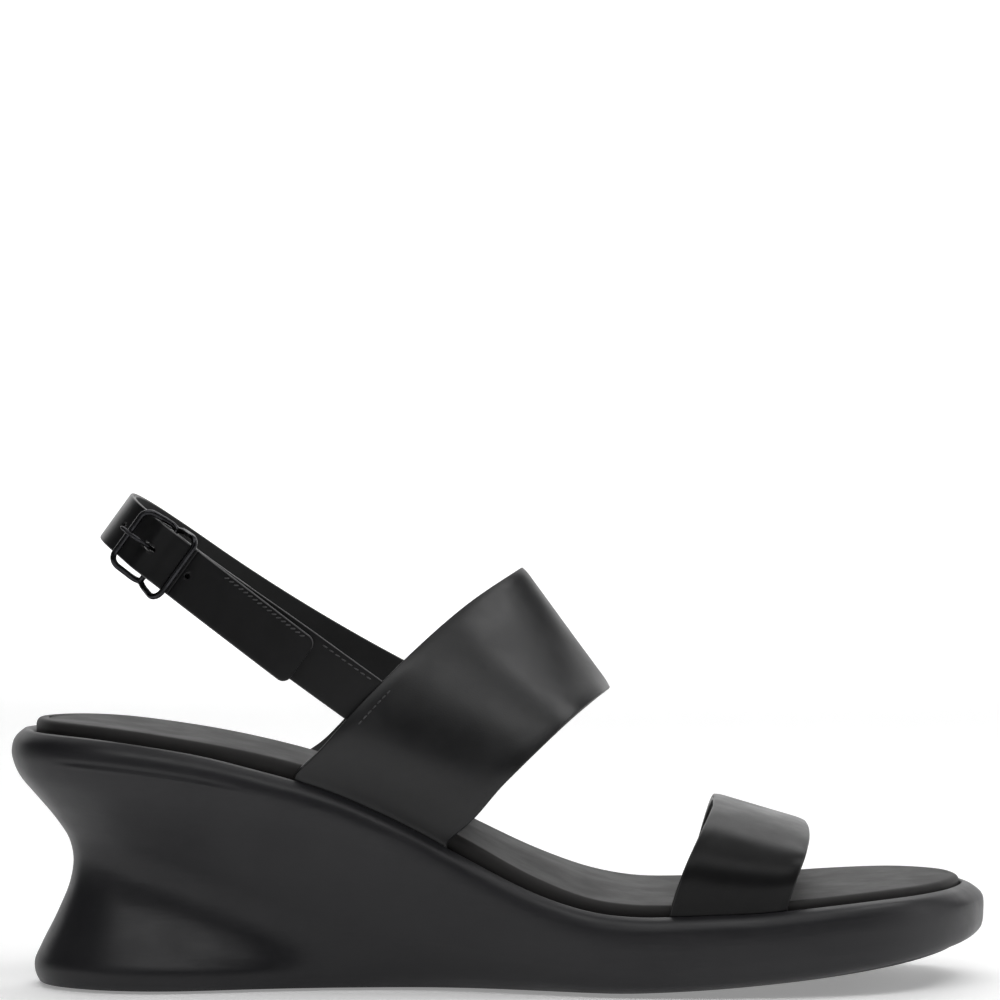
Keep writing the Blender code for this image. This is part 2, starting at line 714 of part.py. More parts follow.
def pivot(name, at, parent=None):
    empty = bpy.data.objects.new(name, None)
    empty.empty_display_size = 0.01
    empty.location = [c * MM for c in at]
    bpy.context.scene.collection.objects.link(empty)
    if parent:
        hold(empty, parent)
    return empty


def hold(child, parent):
    bpy.context.view_layer.update()
    child.parent = parent
    child.matrix_parent_inverse = parent.matrix_world.inverted()


def main():
    clear_scene()
    sole = material_of("moulded_sole", (0.012, 0.012, 0.013), 0.55)
    tread = material_of("tread_rubber", (0.016, 0.016, 0.016), 0.75)
    leather = material_of("black_leather", (0.012, 0.012, 0.013), 0.4)
    lining = material_of("black_lining", (0.02, 0.02, 0.021), 0.7)
    cover = material_of("footbed_leather", (0.018, 0.017, 0.017), 0.5)
    board = material_of("insole_board", (0.28, 0.2, 0.13), 0.9)
    foam = material_of("pad_foam", (0.32, 0.3, 0.27), 0.9)
    steel = material_of("shank_steel", (0.45, 0.45, 0.46), 0.35, 1.0)
    gunmetal = material_of("gunmetal", (0.05, 0.05, 0.055), 0.3, 1.0)
    filler = material_of("filler_tape", (0.05, 0.05, 0.05), 0.9)

    # Sole
    wedge = finish("wedge_sole", wedge_body(), sole)
    base_in = flank_inset(0.0, OUTLINE[:, 0]) + TREAD_MARGIN
    tread_plate = finish(
        "tread_sole",
        plate_body(base_in, bottom_z, lambda x: bottom_z(x) + TREAD_THICK),
        tread,
    )
    grooves = Body()
    for x in list(range(-104, -62, 8)) + list(range(30, 112, 9)):
        z = float(bottom_z(x))
        one = box_body((x, 0.0, z - 1.0), (0.8, 60.0, 2.0))
        start = len(grooves.verts)
        grooves.verts += one.verts
        grooves.faces += [tuple(i + start for i in f) for f in one.faces]
    cut(tread_plate, finish("tread_grooves", grooves, None, smooth=False, cutter=True))

    # Footbed
    board_low = lambda x: footbed_z(x) - RECESS_DEPTH + 0.4
    board_high = lambda x: board_low(x) + BOARD_THICK
    pad_low = lambda x: board_high(x) + FIT + 0.08
    pad_high = lambda x: footbed_z(x) - COVER_THICK - FIT
    inner_in = COVER_IN + COVER_THICK + FIT
    insole = finish("insole_board", plate_body(inner_in, board_low, board_high), board)
    pad = finish("footbed_pad", plate_body(inner_in, pad_low, pad_high), foam)
    finish("footbed_cover", cover_body(), cover)

    shank_y = -5.0
    shank_high = lambda x: footbed_z(x) - RECESS_DEPTH - 0.1
    shank_low = lambda x: shank_high(x) - 1.4
    shank = finish("steel_shank", bar_body(-86.0, 14.0, shank_y, 6.0, shank_low, shank_high, ends=6.0), steel)
    cut(wedge, finish(
        "shank_slot",
        bar_body(-87.0, 15.0, shank_y, 6.6, lambda x: shank_low(x) - 0.9, lambda x: shank_high(x) + 1.2),
        None, smooth=False, cutter=True,
    ))
    for label, x in (("rear", -78.0), ("front", 6.0)):
        slope = (float(footbed_z(x + 1)) - float(footbed_z(x - 1))) / 2
        axis = np.array([-slope, 0.0, 1.0]) / math.hypot(slope, 1)
        side = np.array([1.0, 0.0, slope]) / math.hypot(slope, 1)
        origin = (x, shank_y, float(board_low(x)))
        profile = [(0, -2.75), (3.0, -2.75), (3.0, -2.2), (1.5, -2.2), (1.5, 1.1), (2.9, 1.1), (2.9, 1.7), (0, 1.7)]
        finish("shank_rivet_" + label, lathe_body(origin, (side, (0, 1, 0), axis), profile), steel)
        hole = [(0, -4.4), (1.65, -4.4), (1.65, 1.0), (3.1, 1.0), (3.1, 3.5), (0, 3.5)]
        cutter = finish("rivet_hole_" + label, lathe_body(origin, (side, (0, 1, 0), axis), hole), None, smooth=False, cutter=True)
        cut(insole, cutter)
        cut(shank, cutter)
        pocket = [(0, -3.8), (3.6, -3.8), (3.6, 0.4), (0, 0.4)]
        cut(wedge, finish("rivet_pocket_" + label, lathe_body(origin, (side, (0, 1, 0), axis), pocket), None, smooth=False, cutter=True))

    # Toe and instep straps
    half_gap = LAYER_GAP / 2
    straps = {
        "toe": Strap(TOE_REAR, TOE_FRONT, TOE_BASE),
        "instep": Strap(INSTEP_REAR, INSTEP_FRONT, INSTEP_BASE),
    }
    for label, strap in straps.items():
        finish(label + "_strap_outer", strap.slab(half_gap, half_gap + OUTER_THICK), leather)
        finish(label + "_strap_lining", strap.slab(-half_gap - LINING_THICK, -half_gap), lining)
        for side, rows in (("lateral", (0, 14)), ("medial", (-14, None))):
            pocket = strap.slab(-half_gap - LINING_THICK - 0.9, half_gap + OUTER_THICK + 0.28, -0.012, 1.012, *rows, longer=True)
            cut(wedge, finish(f"{label}_pocket_{side}", pocket, None, smooth=False, cutter=True))

    # Tabs of the slingback, sewn to the inside of the instep strap
    strap = straps["instep"]
    us = np.linspace(-0.03, 0.26, 4)
    surface = strap.grid(us, 0.0)[:, 0]
    low, high = -half_gap - LINING_THICK - 1.2, -half_gap - LINING_THICK - 0.12
    middle = strap.count // 2
    for side, rows in (("lateral", range(12, middle)), ("medial", range(middle, strap.count - 12))):
        reach = [i for i in rows if abs(np.dot(surface[i] - ORIGIN, WIDE)) <= SLING_HALF - 0.6]
        first, last = min(reach), max(reach) + 1
        body = slab_of(strap.grid(us, low)[first:last], strap.grid(us, high)[first:last])
        finish("sling_tab_" + side, body, lining)

    # Chape: from the pivot round the centre bar and back
    gap = 0.05
    loop_in = BAR_RADIUS + 0.12
    outer_path, inner_path = [], []
    s_start = S_PIVOT - SLING_HALF
    s_back = S_BAR - 24.0
    chape_half = round_end(S_PIVOT, 1)

    def spread(s):
        return gap + (loop_in - gap) * float(smoothstep(s, S_BAR - 8.0, S_BAR - 0.5))

    line, halves, middles = [], [], []
    for s in np.concatenate([S_PIVOT - SLING_HALF * np.cos(np.linspace(0.0, math.pi / 2, 7)), np.linspace(S_PIVOT, S_BAR, 20)[1:]]):
        point, _, normal = path_frame(s)
        line.append((point + normal * spread(s), point + normal * (spread(s) + CHAPE_THICK)))
        halves.append(chape_half(s) - 0.2)
        middles.append(chape_w(s))
    point, tangent, normal = path_frame(S_BAR)
    for angle in np.linspace(0, 180, 11)[1:-1]:
        a = math.radians(angle)
        direction = normal * math.cos(a) + tangent * math.sin(a)
        line.append((point + direction * loop_in, point + direction * (loop_in + CHAPE_THICK)))
        halves.append(SLING_HALF - 0.2)
        middles.append(chape_w(S_BAR))
    for s in np.linspace(S_BAR, s_back, 12):
        point, _, normal = path_frame(s)
        line.append((point - normal * spread(s), point - normal * (spread(s) + CHAPE_THICK)))
        halves.append(SLING_HALF - 0.2)
        middles.append(chape_w(s))
    inner = np.array([[place(p, m + w) for w in (-h, 0.0, h)] for (p, _), h, m in zip(line, halves, middles)])
    outer = np.array([[place(q, m + w) for w in (-h, 0.0, h)] for (_, q), h, m in zip(line, halves, middles)])
    chape = finish("chape_strap", slab_of(inner, outer), leather)
    slot = box_body(buckle_point(0.9, 0, 0), (3.4, 2.0, 3.4), (BUCKLE_T, WIDE, BUCKLE_N))
    cut(chape, finish("chape_slot", slot, None, smooth=False, cutter=True))
    stations = np.concatenate([S_PIVOT - SLING_HALF * np.cos(np.linspace(0.0, math.pi / 2, 7)), np.linspace(S_PIVOT, s_back - 0.6, 10)[1:]])
    finish("chape_lining", ribbon(stations, -gap - 0.9, -gap, lambda s: chape_half(s) - 0.25, chape_w), lining)

    # Heel strap: from the medial pivot round the heel and through the buckle
    s_end = S_PIVOT_MEDIAL + SLING_HALF
    heel_half = round_end(S_PIVOT_MEDIAL, -1)
    s_first = S_FLAP + 0.9
    stations = np.concatenate(
        [
            np.linspace(s_first, S_BAR + 12.0, 20, endpoint=False),
            np.linspace(S_BAR + 12.0, s_at(60, True), 22, endpoint=False),
            np.linspace(s_at(60, True), S_PIVOT_MEDIAL, 10),
            S_PIVOT_MEDIAL + SLING_HALF * np.sin(np.linspace(0.0, math.pi / 2, 7))[1:],
        ]
    )
    outer_strap = finish(
        "heel_strap_outer",
        ribbon(stations, lambda s: billet_height(s) + BILLET_LINING + LAYER_GAP, lambda s: billet_height(s) + BILLET_LINING + LAYER_GAP + BILLET_OUTER, heel_half, heel_w),
        leather,
    )
    lining_strap = finish(
        "heel_strap_lining", ribbon(stations, billet_height, lambda s: billet_height(s) + BILLET_LINING, heel_half, heel_w), lining
    )
    hole = box_body(buckle_point(2.15, 0, 3.0), (2.2, 0.95, 4.0), (BUCKLE_T, WIDE, BUCKLE_N))
    hole_cutter = finish("billet_hole", hole, None, smooth=False, cutter=True)
    cut(outer_strap, hole_cutter)
    cut(lining_strap, hole_cutter)

    # Billet tip: the free end beyond the buckle, rounded at its corners
    s_tip = S_BILLET_END

    def tip_half(s):
        d = s - s_tip
        return SLING_HALF if d >= 2.4 else SLING_HALF - 2.4 + math.sqrt(max(2.4**2 - (2.4 - d) ** 2, 0.0))

    stations = np.concatenate([s_tip + 2.4 * (1 - np.cos(np.linspace(0.0, math.pi / 2, 7))), np.linspace(s_tip + 2.4, S_FLAP - 0.3, 12)[1:]])
    finish(
        "billet_tip_outer",
        ribbon(stations, lambda s: billet_height(s) + BILLET_LINING + LAYER_GAP, lambda s: billet_height(s) + BILLET_LINING + LAYER_GAP + BILLET_OUTER, tip_half, heel_w),
        leather,
    )
    finish("billet_tip_lining", ribbon(stations, billet_height, lambda s: billet_height(s) + BILLET_LINING, tip_half, heel_w), lining)

    # Buckle
    frame = finish("buckle_frame", frame_body(), gunmetal)
    bar = [buckle_point(0, w + FRAME_DROP, 0) for w in np.linspace(-FRAME_HALF_WIDE + 0.9, FRAME_HALF_WIDE - 0.9, 3)]
    bar_object = finish("centre_bar", tube_body(bar, BAR_RADIUS, 12, up=BUCKLE_N), None, cutter=True)
    union = frame.modifiers.new("centre_bar", "BOOLEAN")
    union.operation = "UNION"
    union.solver = "EXACT"
    union.object = bar_object

    prong_path = [
        buckle_point(t, 0, n)
        for t, n in spline([(0.9, 1.05), (1.9, 2.1), (3.0, 3.7), (4.6, 5.5), (6.6, 6.55), (8.6, 6.75), (10.4, 6.4)], per=5)
    ]
    radii = np.interp(np.linspace(0, 1, len(prong_path)), (0, 0.15, 0.8, 1.0), (0.55, 0.62, 0.62, 0.4))
    prong = finish("buckle_prong", tube_body(prong_path, radii, 8, up=WIDE), gunmetal)
    eye = [(0.95, -1.15), (1.65, -1.15), (1.65, 1.15), (0.95, 1.15), (0.95, -1.15)]
    eye_object = finish(
        "prong_eye", lathe_body(BUCKLE_O, (BUCKLE_T, BUCKLE_N, WIDE), eye, 14), None, cutter=True
    )
    union = prong.modifiers.new("prong_eye", "BOOLEAN")
    union.operation = "UNION"
    union.solver = "EXACT"
    union.object = eye_object

    # Pivots: each moving piece hangs from an empty on its joint's axis
    middle_y = (path_point(S_PIVOT)[1] + path_point(S_PIVOT_MEDIAL)[1]) / 2
    swing = pivot("swing_pivot", place((PIVOT_A, middle_y), PIVOT_W))
    buckle = pivot("buckle_pivot", BUCKLE_O, swing)
    flap_point, _, flap_normal = path_frame(S_FLAP)
    flap_at = flap_point + flap_normal * (billet_height(S_FLAP) + (BILLET_LINING + LAYER_GAP + BILLET_OUTER) / 2)
    flap = pivot("billet_pivot", place(flap_at, BILLET_W), swing)
    for name in ("chape_strap", "chape_lining", "heel_strap_outer", "heel_strap_lining"):
        hold(bpy.data.objects[name], swing)
    for name in ("chape_slot", "billet_hole"):
        hold(bpy.data.objects[name], swing)
    for name in ("buckle_frame", "buckle_prong", "centre_bar", "prong_eye"):
        hold(bpy.data.objects[name], buckle)
    for name in ("billet_tip_outer", "billet_tip_lining"):
        hold(bpy.data.objects[name], flap)


main()
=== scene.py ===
import math

import bmesh
import bpy
import numpy as np
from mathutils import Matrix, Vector


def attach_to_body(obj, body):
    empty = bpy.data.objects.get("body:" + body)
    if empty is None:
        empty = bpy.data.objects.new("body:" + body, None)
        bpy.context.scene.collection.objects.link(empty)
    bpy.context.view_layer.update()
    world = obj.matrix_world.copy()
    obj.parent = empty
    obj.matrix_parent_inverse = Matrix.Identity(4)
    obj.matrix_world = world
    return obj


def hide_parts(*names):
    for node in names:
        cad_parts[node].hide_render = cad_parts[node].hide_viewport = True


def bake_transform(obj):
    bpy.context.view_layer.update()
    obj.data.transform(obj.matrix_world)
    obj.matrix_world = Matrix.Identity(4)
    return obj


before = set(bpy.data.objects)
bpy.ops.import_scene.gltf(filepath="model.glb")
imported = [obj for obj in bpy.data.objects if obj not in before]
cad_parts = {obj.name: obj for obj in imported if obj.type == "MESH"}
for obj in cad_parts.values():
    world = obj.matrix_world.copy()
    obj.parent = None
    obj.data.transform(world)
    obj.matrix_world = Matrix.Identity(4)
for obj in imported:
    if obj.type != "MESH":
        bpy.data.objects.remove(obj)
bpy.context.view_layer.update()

MM = 0.001

# ------------ the shoe's lines, in millimetres, as the CAD has them

N_RING = 288
LIP_OUTLINE = [
    (-127.0, -5.0), (-121.6, -24.0), (-106.0, -36.2), (-85.0, -40.2), (-55.0, -39.6), (-25.0, -39.2),
    (5.0, -41.0), (35.0, -44.0), (61.0, -45.0), (87.0, -41.2), (106.6, -31.0), (119.6, -15.0), (126.0, 3.0),
    (127.0, 12.0), (123.2, 26.4), (111.6, 37.4), (92.0, 43.4), (67.0, 45.0), (40.0, 41.6), (12.0, 35.0),
    (-20.0, 30.0), (-50.0, 28.2), (-80.0, 28.6), (-104.0, 24.0), (-120.6, 11.6),
]
HEEL_INDEX, TOE_INDEX = 0, 13
FOOTBED_X = (
    -128.0, -122.0, -108.0, -83.0, -50.0, -30.0, -8.0, 10.0, 28.0, 40.0, 60.0, 83.0, 107.0, 119.0, 128.0,
)
FOOTBED_Z = (69.1, 69.0, 68.4, 65.3, 58.3, 50.5, 40.1, 31.3, 25.0, 23.3, 23.3, 24.9, 26.3, 26.4, 26.1)
STEP_X = (-128.0, -80.0, -58.0, -30.0, -13.0, 11.0, 24.0, 46.0, 60.0, 128.0)
STEP_Z = (3.1, 3.1, 4.1, 4.4, 4.7, 3.8, 3.0, 2.6, 2.2, 1.8)
ARCH_X = (-40.0, -26.0, -11.0, 0.0, 11.0, 18.0, 24.0, 34.0, 44.0, 54.0)
ARCH_DROP = (0.0, 0.2, 0.9, 1.6, 2.1, 2.1, 1.8, 0.8, 0.15, 0.0)
TOE_SPRING = 9.9
SPRING_START = 28.0
HEEL_U = (0.0, 0.03, 0.07, 0.14, 0.275, 0.41, 0.48, 0.55, 0.643, 0.74, 0.818, 0.866, 0.906, 0.945, 0.975, 1.0)
HEEL_IN = (7.2, 6.1, 5.8, 7.6, 12.0, 15.4, 16.0, 15.2, 11.5, 6.2, 2.0, 0.6, 0.0, 0.3, 1.3, 3.4)
HEEL_WAIST_U = 0.48
HEEL_WAIST_IN = 16.0
FORE_U = (0.0, 0.04, 0.10, 0.20, 0.36, 0.60, 0.80, 0.90, 0.96, 1.0)
FORE_IN = (5.6, 3.2, 1.45, 0.5, 0.1, 0.0, 0.35, 1.1, 2.0, 3.5)
WAIST_IN = 6.3
TOE_ROUND = 1.5
TREAD_MARGIN = 3.4
TREAD_THICK = 2.9
TREAD_REVEAL = 0.55
RECESS_DEPTH = 7.9
RECESS_IN = 6.0
COVER_IN = 6.5
COVER_ROUND = 1.9
OUTER_THICK = 1.1
LINING_THICK = 0.8
LAYER_GAP = 0.1
SEAT_IN = COVER_IN - 0.42 - LINING_THICK - LAYER_GAP / 2

INSTEP_REAR = [
    (-46.0, -37.4, 62.3), (-39.2, -38.6, 70.2), (-25.0, -33.4, 84.6), (-9.4, -20.3, 98.0), (4.8, -2.0, 107.0),
    (3.4, 8.0, 105.6), (-6.8, 18.6, 97.8), (-19.2, 26.0, 86.4), (-31.4, 29.4, 76.0),
    (-41.6, 29.0, 66.0), (-47.8, 26.6, 59.6),
]
INSTEP_FRONT = [
    (-5.8, -39.6, 47.2), (5.6, -40.6, 58.9), (17.4, -32.4, 69.6), (24.5, -18.6, 74.4), (27.9, -2.0, 75.6),
    (26.8, 9.0, 74.8), (21.4, 21.0, 70.6), (12.2, 30.4, 62.6), (2.0, 33.6, 53.0), (-6.4, 31.0, 45.0),
]
INSTEP_BASE = (-52.4, -13.6, -53.0, -14.2)
TOE_REAR = [
    (45.8, -41.4, 31.6), (49.6, -36.6, 39.2), (52.9, -26.0, 44.2), (54.9, -12.0, 46.3), (55.7, 3.0, 46.7),
    (55.9, 16.0, 46.1), (55.4, 28.6, 42.8), (54.0, 37.6, 36.2), (52.4, 40.4, 29.8),
]
TOE_FRONT = [
    (74.4, -39.8, 28.6), (76.8, -36.2, 34.0), (78.6, -27.0, 37.4), (79.6, -13.0, 39.2), (80.0, 3.0, 39.5),
    (80.0, 17.0, 39.0), (79.6, 29.2, 36.6), (78.6, 37.0, 31.8), (78.0, 39.8, 28.0),
]
TOE_BASE = (42.8, 72.6, 49.6, 76.8)

SLING_ANGLE = 36.0
SLING_ORIGIN = (-34.5, 0.0, 76.0)
SLING_HALF = 6.9
SLING_PATH = [
    (-6.0, -35.4), (0.0, -35.8), (15.0, -36.3), (30.0, -35.9), (44.0, -34.9), (55.0, -33.3),
    (63.3, -31.0), (71.2, -26.9), (76.6, -19.6), (78.5, -8.0), (77.3, 3.0), (72.2, 11.6),
    (62.4, 18.0), (48.0, 22.4), (30.0, 26.0), (12.0, 27.8), (0.0, 28.0), (-6.0, 27.6),
]
PIVOT_A = 9.0
BAR_A = 63.3
CHAPE_THICK = 0.9
BILLET_OUTER = 0.95
BILLET_LINING = 0.7
BAR_RADIUS = 0.75
WIRE_RADIUS = 0.78
FRAME_HALF_LONG = 8.4
FRAME_HALF_WIDE = 8.65
FRAME_RISE = 4.6
FRAME_DROP = -0.5
FRAME_TAPER = 0.08
FRAME_SKEW = -0.012
BILLET_SLOPE = 0.02
CHAPE_W = -0.85
BILLET_W = -1.6
MEDIAL_W = 2.6
BILLET_END_A = 18.0
FLAP_BACK = 11.6
LAYER_CLEAR = 0.03
STRIP_ACROSS = 14        # points across one face of a strap of the slingback
STRAP_START_A = -5.5     # the slingback's ends, hidden under the instep strap
CHAPE_GAP = 0.05
CHAPE_BACK = 24.0        # how far the chape runs back inside from the bar
BILLET_CORNER = 2.4
# distance along the strap from the centre bar, then the hole's half length and half width
HOLES = ((2.15, 2.2, 0.95), (-9.9, 0.72, 0.72), (14.2, 0.72, 0.72))
PRONG_LINE = ((0.9, 1.05), (1.9, 2.1), (3.0, 3.7), (4.6, 5.5), (6.6, 6.55), (8.6, 6.75), (10.4, 6.4))
CHANNEL_STEP = 6.0
TREAD_TOP_GAP = 0.3
POCKET_FLOOR = 3.2       # how far the sole's pocket goes below the footbed's recess

# the camera's place in metres, its tilt down in degrees and its lens; the backdrop in millimetres
CAMERA_AT_M = (-0.0002, -1.25, 0.156)
CAMERA_DOWN = 1.425
CAMERA_LENS = 172.7
FLOOR_HALF = 6000.0
WALL_HALF = 2400.0
WALL_BEND_Y = 1700.0
WALL_BEND_R = 700.0
WALL_TOP = 3200.0


def curve_of(xs, ys, blur=0.0):
    """A smooth function through the given points that doesn't overshoot; blur rounds its changes of slope."""
    xs, ys = np.array(xs, float), np.array(ys, float)
    steps = np.diff(ys) / np.diff(xs)
    slopes = np.empty(len(xs))
    slopes[0], slopes[-1] = steps[0], steps[-1]
    for i in range(1, len(xs) - 1):
        left, right = steps[i - 1], steps[i]
        slopes[i] = 0.0 if left * right <= 0 else 2.0 * left * right / (left + right)

    def value(x):
        x = np.clip(np.asarray(x, float), xs[0], xs[-1])
        i = np.clip(np.searchsorted(xs, x, side="right") - 1, 0, len(xs) - 2)
        h = xs[i + 1] - xs[i]
        t = (x - xs[i]) / h
        return (
            ys[i] * (2 * t**3 - 3 * t**2 + 1) + slopes[i] * h * (t**3 - 2 * t**2 + t)
            + ys[i + 1] * (3 * t**2 - 2 * t**3) + slopes[i + 1] * h * (t**3 - t**2)
        )

    if not blur:
        return value
    grid = np.linspace(xs[0], xs[-1], 2001)
    step = grid[1] - grid[0]
    reach = int(3 * blur / step)
    kernel = np.exp(-0.5 * (np.arange(-reach, reach + 1) * step / blur) ** 2)
    kernel /= kernel.sum()
    raw = value(grid)
    left = 2 * raw[0] - raw[1 : reach + 1][::-1]
    right = 2 * raw[-1] - raw[-reach - 1 : -1][::-1]
    smooth = np.convolve(np.concatenate([left, raw, right]), kernel, "valid")
    return lambda x: np.interp(x, grid, smooth)


def spline(points, closed=False, per=24):
    p = np.array(points, float)
    count = len(p)
    if closed:
        ext = np.vstack([p[-1], p, p[0], p[1]])
        spans = count
    else:
        ext = np.vstack([2 * p[0] - p[1], p, 2 * p[-1] - p[-2]])
        spans = count - 1
    out = []
    for i in range(spans):
        a, b, c, d = ext[i : i + 4]
        t1 = np.linalg.norm(b - a) ** 0.5
        t2 = t1 + np.linalg.norm(c - b) ** 0.5
        t3 = t2 + np.linalg.norm(d - c) ** 0.5
        t = np.linspace(t1, t2, per, endpoint=False)[:, None]
        a1 = (t1 - t) / t1 * a + t / t1 * b
        a2 = (t2 - t) / (t2 - t1) * b + (t - t1) / (t2 - t1) * c
        a3 = (t3 - t) / (t3 - t2) * c + (t - t2) / (t3 - t2) * d
        b1 = (t2 - t) / t2 * a1 + t / t2 * a2
        b2 = (t3 - t) / (t3 - t1) * a2 + (t - t1) / (t3 - t1) * a3
        out.append((t2 - t) / (t2 - t1) * b1 + (t - t1) / (t2 - t1) * b2)
    if not closed:
        out.append(p[-1:])
    return np.vstack(out)


def lengths_of(points):
    return np.concatenate([[0.0], np.cumsum(np.linalg.norm(np.diff(points, axis=0), axis=1))])


def at_lengths(points, at):
    lengths = lengths_of(points)
    return np.stack([np.interp(at, lengths, points[:, k]) for k in range(points.shape[1])], axis=1)


def smoothstep(x, low, high):
    t = np.clip((np.asarray(x, float) - low) / (high - low), 0.0, 1.0)
    return t * t * (3 - 2 * t)


def soften(points, rounds, closed=False):
    """Evens out a line's bends without moving its ends."""
    points = points.copy()
    for _ in range(rounds):
        if closed:
            points = (np.roll(points, 1, axis=0) + 2 * points + np.roll(points, -1, axis=0)) / 4
        else:
            points[1:-1] = (points[:-2] + 2 * points[1:-1] + points[2:]) / 4
    return points


def outline_points():
    dense = soften(spline(LIP_OUTLINE, closed=True), 10, closed=True)
    heel, toe = HEEL_INDEX * 24, TOE_INDEX * 24
    half = N_RING // 2
    t = np.arange(half) / half
    t = t - 0.4 * np.sin(2 * math.pi * t) / (2 * math.pi)
    sides = []
    for part in (dense[heel : toe + 1], np.vstack([dense[toe:], dense[:1]])):
        sides.append(at_lengths(part, t * lengths_of(part)[-1]))
    return np.vstack(sides)


OUTLINE = outline_points()
TANGENT = np.roll(OUTLINE, -1, axis=0) - np.roll(OUTLINE, 1, axis=0)
TANGENT /= np.linalg.norm(TANGENT, axis=1)[:, None]
NORMALS = np.stack([TANGENT[:, 1], -TANGENT[:, 0]], axis=1)
footbed_z = curve_of(FOOTBED_X, FOOTBED_Z, 4.0)
step_down = curve_of(STEP_X, STEP_Z, 4.0)
arch_drop = curve_of(ARCH_X, ARCH_DROP, 3.0)
heel_in = curve_of(HEEL_U, HEEL_IN, 0.012)
fore_in = curve_of(FORE_U, FORE_IN, 0.012)


def bottom_z(x):
    share = (np.asarray(x, float) - SPRING_START) / (127.0 - SPRING_START)
    return TOE_SPRING * np.clip(share, 0.0, None) ** 1.5


def lip_z(x):
    return footbed_z(x) - step_down(x)


def sink(points):
    """Lowers the lateral side of the footbed under the arch, with everything that stands in it."""
    x, y, z = points[:, 0], points[:, 1], points[:, 2]
    f = footbed_z(x)
    share = smoothstep(z, 0.12 * f, 0.55 * f) * (1 - smoothstep(z, f + 3.0, f + 18.0))
    return np.column_stack([x, y, z - arch_drop(x) * smoothstep(-y, -4.0, 32.0) * share])


def flank_inset(u, x):
    """How far the side stands inside the outline at height share u.

    The heel's waist runs lower towards the arch.
    """
    heel_share = smoothstep(-x, -35.0, 88.0)
    waist_u = HEEL_WAIST_U - 0.32 * smoothstep(x, -124.0, -8.0)
    pull = np.where(u < waist_u, smoothstep(u, 0.03, waist_u), 1 - smoothstep(u, waist_u, 0.96))
    heel = heel_in(u + (HEEL_WAIST_U - waist_u) * pull)
    flare = np.where(u < waist_u, smoothstep(-x, 38.0, 96.0), 1.0)
    heel = HEEL_WAIST_IN - (HEEL_WAIST_IN - heel) * flare
    inset = heel_share * heel + (1 - heel_share) * fore_in(u)
    waist = np.exp(-(((x + 12.0) / 30.0) ** 2))
    inset = inset + TOE_ROUND * smoothstep(x, 104.0, 126.0) * smoothstep(u, 0.72, 1.0)
    return inset + WAIST_IN * waist * np.clip(1 - u / 0.75, 0.0, None) ** 1.6


def lip_crease(u, x):
    """A thin raised line under the lip, from the back of the heel to the middle of the footbed."""
    share = smoothstep(x, -116.0, -104.0) * (1 - smoothstep(x, -84.0, -62.0))
    line = 0.22 * np.exp(-(((u - 0.903) / 0.009) ** 2))
    groove = 0.2 * np.exp(-(((u - 0.886) / 0.007) ** 2))
    return share * (line - groove)


def flat_ring(inset):
    return OUTLINE - NORMALS * np.broadcast_to(np.asarray(inset, float), (N_RING,))[:, None]


def side_y(x, side, inset=0.0):
    """Where the outline moved in by inset stands at x, on the lateral (-1) or the medial (+1) side."""
    line = flat_ring(inset)
    half = N_RING // 2
    part = line[2 : half - 2] if side < 0 else line[half + 2 : N_RING - 2][::-1]
    return np.interp(x, part[:, 0], part[:, 1])


def ring_at(inset, z):
    flat = flat_ring(inset)
    return np.column_stack([flat, z(flat[:, 0])])


def rings_over(height, pairs):
    """Rings at pairs of an inset and a rise over a height line."""
    return [ring_at(inset, lambda x, rise=rise: height(x) + rise) for inset, rise in pairs]


def flank_ring(u):
    x = OUTLINE[:, 0]
    flat = flat_ring(flank_inset(u, x) + lip_crease(u, x))
    low, high = bottom_z(x) + TREAD_REVEAL, lip_z(x)
    return np.column_stack([flat, low + (high - low) * u])


# ------------ mesh building


